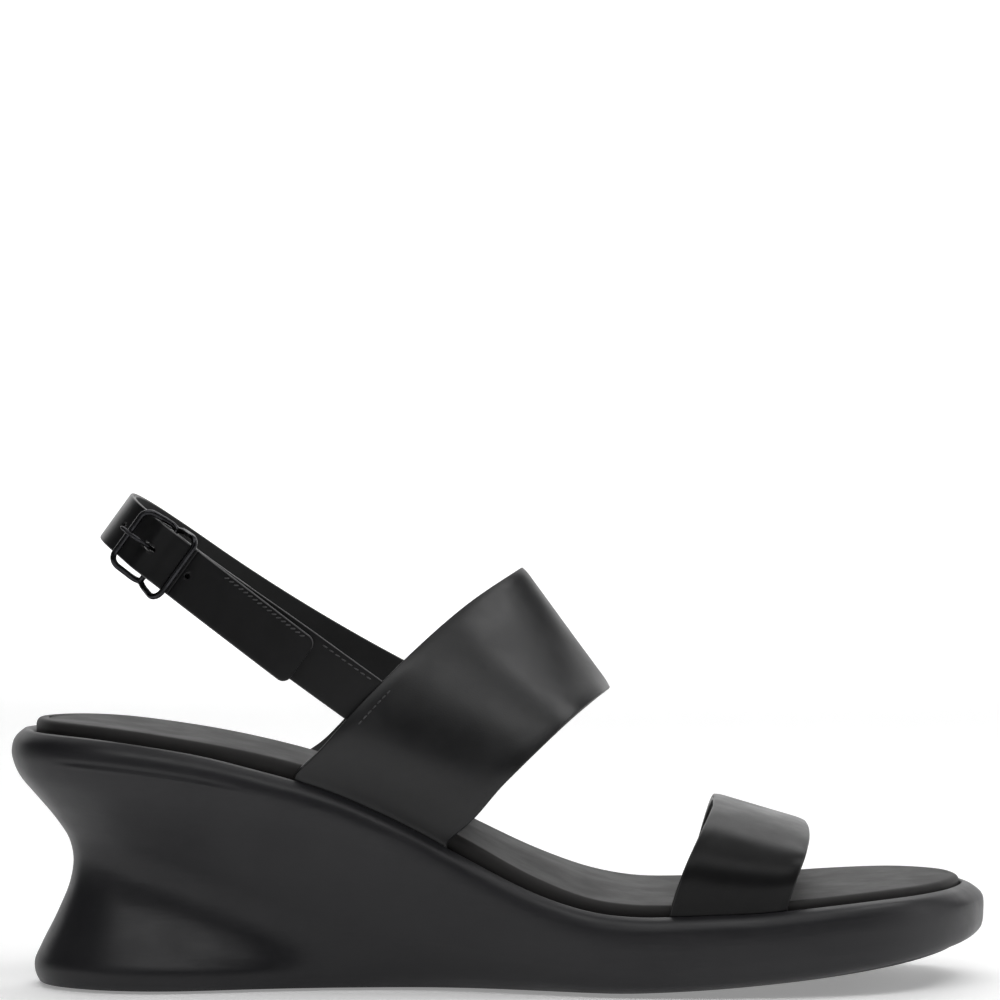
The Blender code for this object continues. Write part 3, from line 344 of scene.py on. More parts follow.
class Body:
    """Points and faces of one piece, in millimetres. Each face has a material index."""

    def __init__(self):
        self.verts = []
        self.faces = []
        self.marks = []

    def add(self, points):
        start = len(self.verts)
        self.verts.extend(tuple(p) for p in np.asarray(points, float))
        return list(range(start, start + len(points)))

    def face(self, indices, mark=0):
        self.faces.append(tuple(indices))
        self.marks.append(mark)

    def join(self, a, b, marks=None):
        for i in range(len(a)):
            j = (i + 1) % len(a)
            self.face((a[i], a[j], b[j], b[i]), marks[i] if marks is not None else 0)

    def cap(self, ring, height, across):
        """Closes a ring with rungs from its lateral to its medial half; height gives their height."""
        count = len(ring)
        rows = []
        for i in range(count // 2 + 1):
            a, b = ring[i], ring[(count - i) % count]
            if a == b:
                rows.append([a])
                continue
            pa, pb = np.array(self.verts[a]), np.array(self.verts[b])
            t = np.arange(1, across)[:, None] / across
            inner = pa + (pb - pa) * t
            inner[:, 2] = height(inner[:, 0], inner[:, 1])
            rows.append([a] + self.add(inner) + [b])
        for one, two in zip(rows, rows[1:]):
            if len(one) == 1:
                for j in range(len(two) - 1):
                    self.face((one[0], two[j], two[j + 1]))
            elif len(two) == 1:
                for j in range(len(one) - 1):
                    self.face((two[0], one[j + 1], one[j]))
            else:
                for j in range(len(one) - 1):
                    self.face((one[j], two[j], two[j + 1], one[j + 1]))

    def tube(self, path, radius, sides=10, up=(0.0, 0.0, 1.0), closed=False, flat=1.0):
        path = np.array(path, float)
        count = len(path)
        if closed:
            tangent = np.roll(path, -1, axis=0) - np.roll(path, 1, axis=0)
        else:
            tangent = np.gradient(path, axis=0)
        tangent /= np.linalg.norm(tangent, axis=1)[:, None]
        side = np.cross(tangent, np.array(up, float))
        side /= np.linalg.norm(side, axis=1)[:, None]
        top = np.cross(side, tangent)
        radius = np.broadcast_to(np.asarray(radius, float), (count,))
        angles = np.arange(sides) * 2 * math.pi / sides
        cos, sin = np.cos(angles)[:, None], np.sin(angles)[:, None]
        rings = [
            self.add(path[i] + radius[i] * (cos * side[i] + flat * sin * top[i])) for i in range(count)
        ]
        for a, b in zip(rings, rings[1:]):
            self.join(a, b)
        if closed:
            self.join(rings[-1], rings[0])
        else:
            self.face(rings[0])
            self.face(rings[-1][::-1])
        return self

    def loft(self, rings, marks=None):
        """Joins closed rings one after another and gives back their point numbers."""
        rings = [self.add(ring) for ring in rings]
        for a, b in zip(rings, rings[1:]):
            self.join(a, b, marks)
        return rings


def make(name, body, materials, sharp=None):
    mesh = bpy.data.meshes.new(name)
    mesh.from_pydata((sink(np.array(body.verts, float)) * MM).tolist(), [], body.faces)
    mesh.polygons.foreach_set("material_index", body.marks)
    for material in materials:
        mesh.materials.append(material)
    made = bmesh.new()
    made.from_mesh(mesh)
    bmesh.ops.remove_doubles(made, verts=made.verts, dist=2e-8)
    bmesh.ops.dissolve_degenerate(made, edges=made.edges, dist=1e-8)
    bmesh.ops.recalc_face_normals(made, faces=made.faces)
    if made.calc_volume(signed=True) < 0:
        bmesh.ops.reverse_faces(made, faces=made.faces)
    made.to_mesh(mesh)
    made.free()
    mesh.shade_smooth()
    if sharp:
        mesh.set_sharp_from_angle(angle=math.radians(sharp))
    obj = bpy.data.objects.new(name, mesh)
    bpy.context.scene.collection.objects.link(obj)
    return obj


# ------------ materials


class Nodes:
    """A short way to write a node material."""

    def __init__(self, name, colour, roughness, metallic=0.0, **inputs):
        self.material = bpy.data.materials.new(name)
        self.material.use_nodes = True
        self.tree = self.material.node_tree
        self.shader = self.tree.nodes["Principled BSDF"]
        self.coords = self.tree.nodes.new("ShaderNodeTexCoord").outputs["Object"]
        self.set("Base Color", (*colour, 1.0))
        self.set("Roughness", roughness)
        self.set("Metallic", metallic)
        for key, value in inputs.items():
            self.set(key.replace("_", " "), value)
        self.normal = None

    def set(self, key, value):
        self.shader.inputs[key].default_value = value

    def link(self, a, b):
        self.tree.links.new(a, b)

    def mapping(self, scale):
        node = self.tree.nodes.new("ShaderNodeMapping")
        node.inputs["Scale"].default_value = scale
        self.link(self.coords, node.inputs["Vector"])
        return node.outputs["Vector"]

    def noise(self, scale, detail=3.0, rough=0.5, vector=None):
        node = self.tree.nodes.new("ShaderNodeTexNoise")
        node.inputs["Scale"].default_value = scale
        node.inputs["Detail"].default_value = detail
        node.inputs["Roughness"].default_value = rough
        self.link(vector or self.coords, node.inputs["Vector"])
        return node.outputs["Fac"]

    def cells(self, scale, feature="DISTANCE_TO_EDGE"):
        node = self.tree.nodes.new("ShaderNodeTexVoronoi")
        node.feature = feature
        node.inputs["Scale"].default_value = scale
        self.link(self.coords, node.inputs["Vector"])
        return node.outputs["Distance"]

    def ramp(self, value, low, high, to_low, to_high):
        node = self.tree.nodes.new("ShaderNodeMapRange")
        node.clamp = True
        node.interpolation_type = "SMOOTHSTEP"
        for key, number in (("From Min", low), ("From Max", high), ("To Min", to_low), ("To Max", to_high)):
            node.inputs[key].default_value = number
        self.link(value, node.inputs["Value"])
        return node.outputs["Result"]

    def mottle(self, one, two, *noise, low=0.3, high=0.7):
        """Soft patches of two colours."""
        factor = self.ramp(self.noise(*noise), low, high, 0.0, 1.0)
        node = self.tree.nodes.new("ShaderNodeMix")
        node.data_type = "RGBA"
        self.link(factor, node.inputs["Factor"])
        for socket, value in ((node.inputs["A"], one), (node.inputs["B"], two)):
            socket.default_value = (*value, 1.0)
        self.link(node.outputs["Result"], self.shader.inputs["Base Color"])

    def rough(self, value, low, high, to_low, to_high):
        self.link(self.ramp(value, low, high, to_low, to_high), self.shader.inputs["Roughness"])

    def bump(self, height, strength, distance):
        node = self.tree.nodes.new("ShaderNodeBump")
        node.inputs["Strength"].default_value = strength
        node.inputs["Distance"].default_value = distance
        self.link(height, node.inputs["Height"])
        if self.normal:
            self.link(self.normal, node.inputs["Normal"])
        self.normal = node.outputs["Normal"]
        self.link(self.normal, self.shader.inputs["Normal"])


def leather(name, base, tint, rough, grain=0.25, crease=0.3, level=0.5):
    """Smooth dyed leather: fine pores, a soft network of grain lines and slow changes of gloss."""
    n = Nodes(name, base, rough, Specular_IOR_Level=level)
    n.mottle(base, tint, 38.0, 4.0, 0.55, low=0.35)
    n.rough(n.noise(75.0, 5.0, 0.6), 0.3, 0.7, rough - 0.05, rough + 0.06)
    n.bump(n.noise(22.0, 2.0, 0.5), crease, 0.0012)
    n.bump(n.cells(1500.0), grain, 0.00006)
    n.bump(n.noise(2600.0, 2.0, 0.6), grain * 0.6, 0.00004)
    return n.material


def materials():
    m = {}
    for key, name, base, tint, rough, looks in (
        ("leather", "strap_leather", (0.0080, 0.0080, 0.0084), (0.0122, 0.0122, 0.0128), 0.33,
            {"level": 0.21}),
        # the toe strap's copy of the same black leather is darker: painted shade
        ("toe", "toe_strap_leather_painted_shade", (0.0062, 0.0062, 0.0065), (0.0095, 0.0095, 0.0099), 0.33,
            {"level": 0.165}),
        # the instep strap's copy of the same black leather is lighter: a painted highlight
        ("instep", "instep_leather_painted_highlight", (0.0125, 0.0125, 0.0132), (0.0190, 0.0190, 0.0199), 0.35,
            {"crease": 0.7, "level": 0.36}),
        # the slingback's edge paint is lighter than the other edge paint: a painted highlight along its edges
        ("painted_highlight_edge", "edge_paint_painted_highlight", (0.040, 0.040, 0.041), (0.058, 0.058, 0.060), 0.42,
            {"grain": 0.05, "crease": 0.1, "level": 0.5}),
        ("edge", "edge_paint", (0.0085, 0.0085, 0.0088), (0.012, 0.012, 0.0124), 0.40,
            {"grain": 0.05, "crease": 0.1, "level": 0.4}),
        ("cover", "footbed_leather", (0.0215, 0.0204, 0.0202), (0.0285, 0.0271, 0.0268), 0.60,
            {"grain": 0.18, "crease": 0.15, "level": 0.24}),
    ):
        m[key] = leather(name, base, tint, rough, **looks)

    lining = (0.0150, 0.0150, 0.0153)
    n = Nodes("strap_lining", lining, 0.68, Specular_IOR_Level=0.35, Sheen_Weight=0.08, Sheen_Roughness=0.5)
    n.mottle(lining, (0.0215, 0.0215, 0.0220), 60.0, 5.0, 0.65, high=0.72)
    n.bump(n.noise(900.0, 4.0, 0.7), 0.35, 0.00012)
    m["lining"] = n.material

    n = Nodes("moulded_sole", (0.0135, 0.0135, 0.0150), 0.42, Specular_IOR_Level=0.39)
    n.mottle((0.0128, 0.0126, 0.0146), (0.0175, 0.0172, 0.0192), 24.0, 3.0, 0.5)
    n.rough(n.noise(55.0, 5.0, 0.65), 0.3, 0.72, 0.37, 0.48)
    n.bump(n.noise(26.0, 3.0, 0.6, n.mapping((1.0, 1.0, 5.0))), 0.25, 0.0008)
    n.bump(n.noise(3200.0, 3.0, 0.6), 0.16, 0.00004)
    m["sole"] = n.material

    n = Nodes("tread_rubber", (0.016, 0.016, 0.0165), 0.72)
    n.mottle((0.013, 0.013, 0.0135), (0.023, 0.0225, 0.022), 90.0, 5.0, 0.6)
    n.rough(n.noise(160.0, 4.0, 0.6), 0.3, 0.7, 0.62, 0.82)
    n.bump(n.noise(1800.0, 3.0, 0.6), 0.3, 0.0001)
    m["tread"] = n.material

    n = Nodes("gunmetal", (0.034, 0.034, 0.037), 0.3, 1.0)
    n.mottle((0.026, 0.026, 0.028), (0.046, 0.046, 0.050), 420.0, 4.0, 0.6)
    n.rough(n.noise(700.0, 4.0, 0.6), 0.3, 0.7, 0.20, 0.34)
    n.bump(n.noise(2400.0, 2.0, 0.5), 0.06, 0.00003)
    m["metal"] = n.material

    n = Nodes("thread", (0.040, 0.040, 0.042), 0.6, Sheen_Weight=0.15, Sheen_Roughness=0.4)
    n.mottle((0.032, 0.032, 0.033), (0.060, 0.060, 0.062), 900.0, 3.0, 0.6)
    n.bump(n.noise(5200.0, 2.0, 0.5), 0.5, 0.00008)
    m["thread"] = n.material

    n = Nodes("insole_board", (0.28, 0.20, 0.13), 0.9)
    n.mottle((0.22, 0.155, 0.10), (0.34, 0.25, 0.165), 420.0, 6.0, 0.7)
    n.bump(n.noise(1400.0, 5.0, 0.7), 0.5, 0.00015)
    m["board"] = n.material

    n = Nodes("pad_foam", (0.32, 0.30, 0.27), 0.95)
    n.mottle((0.27, 0.25, 0.225), (0.36, 0.34, 0.305), 700.0, 3.0, 0.6)
    n.bump(n.cells(1300.0, "F1"), 0.6, 0.0003)
    m["foam"] = n.material

    n = Nodes("shank_steel", (0.45, 0.45, 0.46), 0.36, 1.0)
    n.rough(n.noise(600.0, 4.0, 0.6, n.mapping((1, 14, 14))), 0.3, 0.7, 0.28, 0.46)
    n.bump(n.noise(900.0, 3.0, 0.6, n.mapping((1, 16, 16))), 0.2, 0.00005)
    m["steel"] = n.material
    return m


# ------------ sole and footbed

STRAP_ZONES = (
    (*INSTEP_BASE[:2], -1), (*INSTEP_BASE[2:], 1), (*TOE_BASE[:2], -1), (*TOE_BASE[2:], 1),
)


def recess_inset(extra=0.0):
    """The lip's inner wall stands back where a strap end passes."""
    side = np.where(np.arange(N_RING) < N_RING // 2, -1, 1)
    inset = np.full(N_RING, RECESS_IN)
    back = SEAT_IN - LAYER_GAP / 2 - OUTER_THICK - 0.28 + extra
    for low, high, which in STRAP_ZONES:
        x = OUTLINE[:, 0]
        inside = smoothstep(x, low - 1.6, low - 0.2) * (1 - smoothstep(x, high + 0.2, high + 1.6))
        inside = inside * (side == which)
        inset = inset * (1 - inside) + back * inside
    return inset


def wedge_body():
    body = Body()
    base_in = flank_inset(0.0, OUTLINE[:, 0])
    pocket_in = base_in + TREAD_MARGIN - 0.35
    rings = rings_over(bottom_z, (
        (pocket_in, TREAD_THICK + TREAD_TOP_GAP), (pocket_in, TREAD_REVEAL + 0.35),
        (pocket_in - 0.25, TREAD_REVEAL - 0.02),
        (base_in + 1.4, TREAD_REVEAL - 0.15), (base_in + 0.6, TREAD_REVEAL - 0.12),
    ))
    # more rings where the side bends at the bottom, at the crease and at the lip
    for low, high, count in ((0, 0.14, 12), (0.16, 0.84, 38), (0.855, 0.93, 20), (0.94, 1.0, 10)):
        rings += [flank_ring(u) for u in np.linspace(low, high, count)]
    wall = recess_inset()
    top = flank_inset(1.0, OUTLINE[:, 0])
    lip = ((0.34, 0.02), (0.62, 0.20), (0.85, 0.60), (0.97, 1.15), (1.0, 1.9))
    rings += rings_over(lip_z, [(top + (wall - top) * share, -drop) for share, drop in lip])
    rings += rings_over(footbed_z, [(wall, -RECESS_DEPTH - POCKET_FLOOR)])
    indices = body.loft(rings)
    body.cap(indices[0], lambda x, y: bottom_z(x) + TREAD_THICK + TREAD_TOP_GAP, 8)
    body.cap(indices[-1], lambda x, y: footbed_z(x) - RECESS_DEPTH - POCKET_FLOOR, 8)
    return body


def footbed_top(x, y):
    """The upper face is slightly cupped under the heel and swells under the arch and behind the toes."""
    lateral, medial = side_y(x, -1), side_y(x, 1)
    middle, half = (lateral + medial) / 2, np.maximum((medial - lateral) / 2 - COVER_IN, 1.0)
    t = np.clip((y - middle) / half, -1, 1)
    cup = 0.9 * (1 - t**2) ** 2 * np.exp(-(((x + 92.0) / 26.0) ** 2))
    ball = 0.5 * (1 - t**2) ** 2 * np.exp(-(((x - 62.0) / 22.0) ** 2))
    return footbed_z(x) - cup - ball


def cover_body():
    body = Body()
    low, thick = 0.4 - RECESS_DEPTH, 1.2
    arc = [(1 - math.cos(a), 1 - math.sin(a)) for a in np.radians(np.linspace(6, 90, 9))]
    rings = rings_over(footbed_z, [
        (COVER_IN + thick, -thick - 1.0), (COVER_IN + thick, low), (COVER_IN + 0.2, low),
        (COVER_IN, low + 0.3),
        (COVER_IN - 0.02, -COVER_ROUND - 0.6),
        *[(COVER_IN + COVER_ROUND * out * 0.8, -COVER_ROUND * down) for out, down in arc],
        (COVER_IN + 3.2, 0.02),
    ])
    indices = body.loft(rings)
    body.cap(indices[0], lambda x, y: footbed_z(x) - thick - 1.0, 6)
    body.cap(indices[-1], footbed_top, 18)
    return body


def tread_body():
    """The tread: a plate; add_sole cuts shallow cross channels into it under the heel and the forefoot."""
    body = Body()
    base_in = flank_inset(0.0, OUTLINE[:, 0]) + TREAD_MARGIN
    rings = rings_over(bottom_z, (
        (base_in, TREAD_THICK), (base_in, 0.5), (base_in + 0.15, 0.15),
        (base_in + 0.5, 0), (base_in + 2.2, 0),
    ))
    indices = body.loft(rings)
    body.cap(indices[0], lambda x, y: bottom_z(x) + TREAD_THICK, 4)
    body.cap(indices[-1], lambda x, y: bottom_z(x), 24)
    return body


def channels_body():
    body = Body()
    half = N_RING // 2
    for x0 in [*np.arange(-108.0, -60.0, CHANNEL_STEP), *np.arange(28.0, 114.0, CHANNEL_STEP)]:
        lateral, medial = side_y(x0, -1), side_y(x0, 1)
        inset = float(flank_inset(0.0, x0)) + TREAD_MARGIN + 3.2
        ys = np.linspace(lateral + inset, medial - inset, 40)
        if ys[-1] - ys[0] < 8:
            continue
        wave = 1.3 * np.sin((ys - ys[0]) / 7.0 * 2 * math.pi)
        path = np.column_stack([x0 + wave, ys, bottom_z(x0 + wave) - 0.35])
        body.tube(path, 1.0, 8)
    return body


# ------------ straps


def strap_edge(base_lateral, middle, base_medial):
    reach = 11.0

    def foot(x, side):
        y = float(side_y(x, side, SEAT_IN))
        floor = float(footbed_z(x)) - RECESS_DEPTH
        low = floor - 0.35 - LINING_THICK - LAYER_GAP / 2
        top = float(lip_z(x)) + 1.0
        bend = 1.9
        points = [(x, y - side * reach, low), (x, y - side * (reach + bend) / 2, low)]
        for angle in (0, 22.5, 45, 67.5, 90):
            a = math.radians(angle)
            points.append((x, y - side * bend * (1 - math.sin(a)), low + bend * (1 - math.cos(a))))
        points.append((x, y, (low + bend + top) / 2))
        points.append((x, y, top))
        return points

    return spline(foot(base_lateral, -1) + list(middle) + foot(base_medial, 1)[::-1], per=20)


EDGE_ARC = np.radians(np.linspace(90, -90, 9))[1:-1]
MOST_ROUND = 0.49    # the largest radius of an edge, as a share of the strip's thickness


# rows of a strap's end: the flat foot, the bend and the rise to the lip
START_MARKS = np.concatenate([
    np.linspace(0, 9.0, 4, endpoint=False), np.linspace(9.0, 14.4, 14, endpoint=False),
    np.linspace(14.4, 22.0, 6, endpoint=False),
])
FOLD_ROWS = len(START_MARKS)


def edge_marks(across):
    """Material indices round a strip's section: 0 on its two faces, 1 on its edges."""
    return ([0] * (across - 1) + [1] * (len(EDGE_ARC) + 1)) * 2


def closed_strip(sections, across, shift):
    """A body through a strip's sections, which start inside a face so that the end caps close evenly."""
    body = Body()
    rings = body.loft(np.roll(sections, -shift, axis=1), list(np.roll(edge_marks(across), -shift)))
    body.face(rings[0][::-1], 1)
    body.face(rings[-1], 1)
    return body


def edge_turn(low, high, r, arc, start, out):
    """A strip's rounded edge as (place across, height), turned about start and out long at its middle."""
    middle, straight = (low + high) / 2, (high - low) / 2 - r
    return [
        (start + out * math.cos(a), middle + straight * np.sign(math.sin(a)) + r * math.sin(a)) for a in arc
    ]


class Strap:
    """A strap across the shoe, between a rear and a front edge line."""

    def __init__(self, rear, front, bases, rows=190, even=8):
        self.lines = []
        for line in (strap_edge(bases[0], rear, bases[2]), strap_edge(bases[1], front, bases[3])):
            total = lengths_of(line)[-1]
            self.marks = np.concatenate([START_MARKS, np.linspace(22.0, total - 22.0, rows - 2 * FOLD_ROWS),
                                         total - START_MARKS[::-1]])
            points = at_lengths(line, self.marks)
            free = slice(FOLD_ROWS - 2, rows - FOLD_ROWS + 2)
            points[free] = soften(points[free], even)
            self.lines.append(points)
            self.seated = 1 - smoothstep(np.minimum(self.marks, total - self.marks), 21.0, 36.0)
        self.half = rows // 2
        self.width = np.linalg.norm(self.lines[1] - self.lines[0], axis=1)

    def surface(self, us):
        """Points and outward normals, by rows and fractions of the width."""
        us = np.asarray(us, float)
        rear, front = self.lines
        surface = rear[:, None, :] * (1 - us)[None, :, None] + front[:, None, :] * us[None, :, None]
        for side, rows in ((-1, slice(0, self.half)), (1, slice(self.half, None))):
            x = surface[rows, :, 0]
            share = self.seated[rows][:, None]
            y_ends = [side_y(line[rows, 0], side, SEAT_IN)[:, None] for line in (rear, front)]
            z_ends = [footbed_z(line[rows, 0])[:, None] for line in (rear, front)]
            surface[rows, :, 1] += share * (side_y(x, side, SEAT_IN) - (1 - us) * y_ends[0] - us * y_ends[1])
            surface[rows, :, 2] += share * (footbed_z(x) - (1 - us) * z_ends[0] - us * z_ends[1])
        along = np.gradient(surface, axis=0)
        across = np.gradient(surface, axis=1)
        normal = np.cross(across, along)
        normal /= np.linalg.norm(normal, axis=2)[:, :, None]
        return surface, normal

    def layer(self, low, high, bevel=0.35, fall=0.0, across=34):
        """A closed strip between two offsets, its long edges rounded and thinner by fall."""
        width = float(np.median(self.width))
        r = min(bevel, (high - low - fall) * MOST_ROUND)
        inset = r / width
        face = np.linspace(0, 1, across)
        face = face - 0.8 * np.sin(2 * math.pi * face) / (2 * math.pi)
        us = inset + face * (1 - 2 * inset)

        def rolled(u):
            rear = max(0.0, 1 - (u - us[0]) * width / 2.6) ** 2
            return high - fall * (rear + max(0.0, 1 - (us[-1] - u) * width / 3.4) ** 2)

        out = [(u, rolled(u)) for u in us]
        turn_f = edge_turn(low, high - fall, r, EDGE_ARC, 1 - inset, inset)
        back = [(u, low) for u in us[::-1]]
        turn_r = edge_turn(low, high - fall, r, EDGE_ARC[::-1], inset, -inset)
        profile = out + turn_f + back + turn_r
        values = sorted({round(u, 9) for u, _ in profile})
        points, normals = self.surface(values)
        column = {u: i for i, u in enumerate(values)}
        picks = [column[round(u, 9)] for u, _ in profile]
        offsets = np.array([n for _, n in profile])
        sections = points[:, picks] + normals[:, picks] * offsets[None, :, None]
        return closed_strip(sections, across, across // 2)

    def line(self, u, offset):
        points, normals = self.surface([u - 0.002, u, u + 0.002])
        return (points + normals * offset)[:, 1], normals[:, 1]


# ------------ slingback

PHI = math.radians(SLING_ANGLE)
ALONG = np.array([-math.cos(PHI), 0.0, math.sin(PHI)])
WIDE = np.array([math.sin(PHI), 0.0, math.cos(PHI)])
ACROSS = np.array([0.0, 1.0, 0.0])
ORIGIN = np.array(SLING_ORIGIN)
# the visual strap dips under the instep strap at both ends
PATH = spline(SLING_PATH, per=40)
BACK = int(np.argmax(PATH[:, 0]))
PATH_S = lengths_of(PATH)


def s_at(a, medial=False):
    if medial:
        return float(np.interp(-a, -PATH[BACK:, 0], PATH_S[BACK:]))
    return float(np.interp(a, PATH[: BACK + 1, 0], PATH_S[: BACK + 1]))


def path_frames(s):
    s = np.atleast_1d(np.asarray(s, float))
    step = 1.2
    at = lambda q: np.stack([np.interp(q, PATH_S, PATH[:, 0]), np.interp(q, PATH_S, PATH[:, 1])], axis=1)
    t = at(s + step) - at(s - step)
    t /= np.linalg.norm(t, axis=1)[:, None]
    return at(s), t, np.stack([t[:, 1], -t[:, 0]], axis=1)


def place(points, w):
    points = np.atleast_2d(points)
    w = np.asarray(w, float).reshape(-1, 1)
    return ORIGIN + points[:, :1] * ALONG + points[:, 1:2] * ACROSS + w * WIDE


# points on the slingback's path where it meets the instep strap, on the near and the far side
NEAR_FOLD = place((-4.0, -35.0), 0)[0], place((22.0, -36.0), 0)[0]
FAR_FOLD = place((22.0, 26.0), 0)[0], place((-4.0, 28.0), 0)[0]
S_BAR = s_at(BAR_A)
S_PIVOT = s_at(PIVOT_A)
S_BILLET_END = s_at(BILLET_END_A)
S_FLAP = S_BAR - FLAP_BACK
BAR_POINT, BAR_T, BAR_N = (v[0] for v in path_frames(S_BAR))
BUCKLE_T = ALONG * BAR_T[0] + ACROSS * BAR_T[1]
BUCKLE_N = ALONG * BAR_N[0] + ACROSS * BAR_N[1]
BUCKLE_O = place(BAR_POINT, BILLET_W)[0]


def heel_w(s):
    """How far the strap's centre line stands up: lower at the billet's end, higher on the far side."""
    low = BILLET_SLOPE * np.clip(S_BAR - 4.0 - np.asarray(s, float), 0.0, None)
    t = np.clip((s - s_at(56, True)) / (s_at(-3, True) - s_at(56, True)), 0.0, 1.1)
    return BILLET_W - low + (MEDIAL_W - BILLET_W) * t**2


def chape_w(s):
    return CHAPE_W + (BILLET_W + 0.1 - CHAPE_W) * smoothstep(s, S_PIVOT + 8.0, S_BAR - 6.0)


def billet_height(s):
    rest = CHAPE_THICK + 0.12
    top = BAR_RADIUS + 0.1 + CHAPE_THICK + 0.12
    d = np.asarray(s, float) - S_BAR
    left = rest + (top - rest) * smoothstep(d, -7.5, -1.2)
    right = top + (-0.8 - top) * smoothstep(d, 1.6, 9.5)
    return np.where(d < 0, left, right)


def buckle_point(t, w, n):
    t, w, n = np.broadcast_arrays(*(np.asarray(v, float) for v in (t, w, n)))
    return BUCKLE_O + t[..., None] * BUCKLE_T + w[..., None] * WIDE + n[..., None] * BUCKLE_N


def strip(name, mats, points, normals, low, high, half, middle, bevel):
    """A flat strap along a line in the slingback's plane, its long edges rounded."""
    face = np.linspace(-1, 1, STRIP_ACROSS)
    low, high, half, middle = (np.broadcast_to(v, len(points)) for v in (low, high, half, middle))
    sections = []
    for p, n, a, b, h, m in zip(points, normals, low, high, half, middle):
        r = min(bevel, (b - a) * MOST_ROUND)
        ws = face * (h - r)
        turn = edge_turn(a, b, r, EDGE_ARC, h - r, r)
        profile = [(w, b) for w in ws] + turn
        profile += [(w, a) for w in ws[::-1]] + [(-w, q) for w, q in turn[::-1]]
        sections.append([place(p + n * q, m + w)[0] for w, q in profile])
    return make(name, closed_strip(np.array(sections), STRIP_ACROSS, STRIP_ACROSS // 2), mats)


# ------------ stitching


def stitches(name, line, normals, pitch, length, radius, material, slant=None):
    """Separate threads that dip into the leather at both ends. slant turns each one across the row."""
    total = lengths_of(line)[-1]
    body = Body()
    count = int(total / pitch)
    mids = (np.arange(count) + 0.5) * total / count
    t = np.linspace(-0.5, 0.5, 9)
    for mid in mids:
        at = mid + t * length
        points = at_lengths(line, np.clip(at, 0, total))
        idx = np.clip(np.searchsorted(lengths_of(line), mid), 1, len(line) - 1)
        normal = normals[min(idx, len(normals) - 1)]
        direction = line[idx] - line[idx - 1]
        direction /= np.linalg.norm(direction)
        side = np.cross(normal, direction)
        lift = radius * 0.75 - 1.9 * radius * (2 * np.abs(t)) ** 4
        if slant:
            along = direction * math.cos(slant) + side * math.sin(slant)
            points = at_lengths(line, np.full(len(t), mid)) + (t * length)[:, None] * along
        points = points + normal * lift[:, None]
        body.tube(points, radius * np.array([0.6, 0.85, 1, 1, 1, 1, 1, 0.85, 0.6]), 8, up=normal)
    return make(name, body, [material])


# ------------ putting it together


def label(nodes):
    if nodes:
        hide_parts(*nodes)


def place_piece(obj, body, slot, *nodes):
    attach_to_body(obj, body)
    label(nodes)


def bend(obj, a, b, start, end, slot, *nodes):
    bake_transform(obj)
    label(nodes)


def half_at_end(s, s_end, corner, half):
    """Half width of a strip whose end at s_end has round corners."""
    d = np.clip(s - s_end, 0.0, corner)
    return half - corner + math.sqrt(max(corner**2 - (corner - d) ** 2, 0.0))


def add_sole(m):
    wedge = make("wedge_shell", wedge_body(), [m["sole"]], sharp=60)
    place_piece(wedge, "shoe", "moulded_sole", "wedge_sole")

    tread = make("tread_plate", tread_body(), [m["tread"]], sharp=50)
    drill(tread, make("tread_channels", channels_body(), [m["tread"]]))
    place_piece(tread, "shoe", "tread_rubber", "tread_sole")

    cover = make("footbed_skin", cover_body(), [m["cover"]], sharp=75)
    place_piece(cover, "shoe", "footbed_leather", "footbed_cover")


def add_straps(m):
    half_gap = LAYER_GAP / 2
    straps = {
        "toe": Strap(TOE_REAR, TOE_FRONT, TOE_BASE),
        "instep": Strap(INSTEP_REAR, INSTEP_FRONT, INSTEP_BASE),
    }
    for which, strap in straps.items():
        body = strap.layer(half_gap, half_gap + OUTER_THICK, bevel=0.5, fall=0.3)
        # the toe strap's leather copy is darker, painted shade; the instep strap's copy is lighter, a painted
        # highlight
        outer = make(which + "_strap_skin", body, [m[which], m["edge"]])
        place_piece(outer, "shoe", "black_leather", which + "_strap_outer")
        body = strap.layer(-half_gap - LINING_THICK, -half_gap, bevel=0.3)
        lining = make(which + "_strap_inner", body, [m["lining"], m["edge"]])
        place_piece(lining, "shoe", "black_lining", which + "_strap_lining")
    return straps


def two_spans(first, second):
    """Stations along two joined spans, each given as start, end and count."""
    return np.concatenate([np.linspace(*first, endpoint=False), np.linspace(*second)])


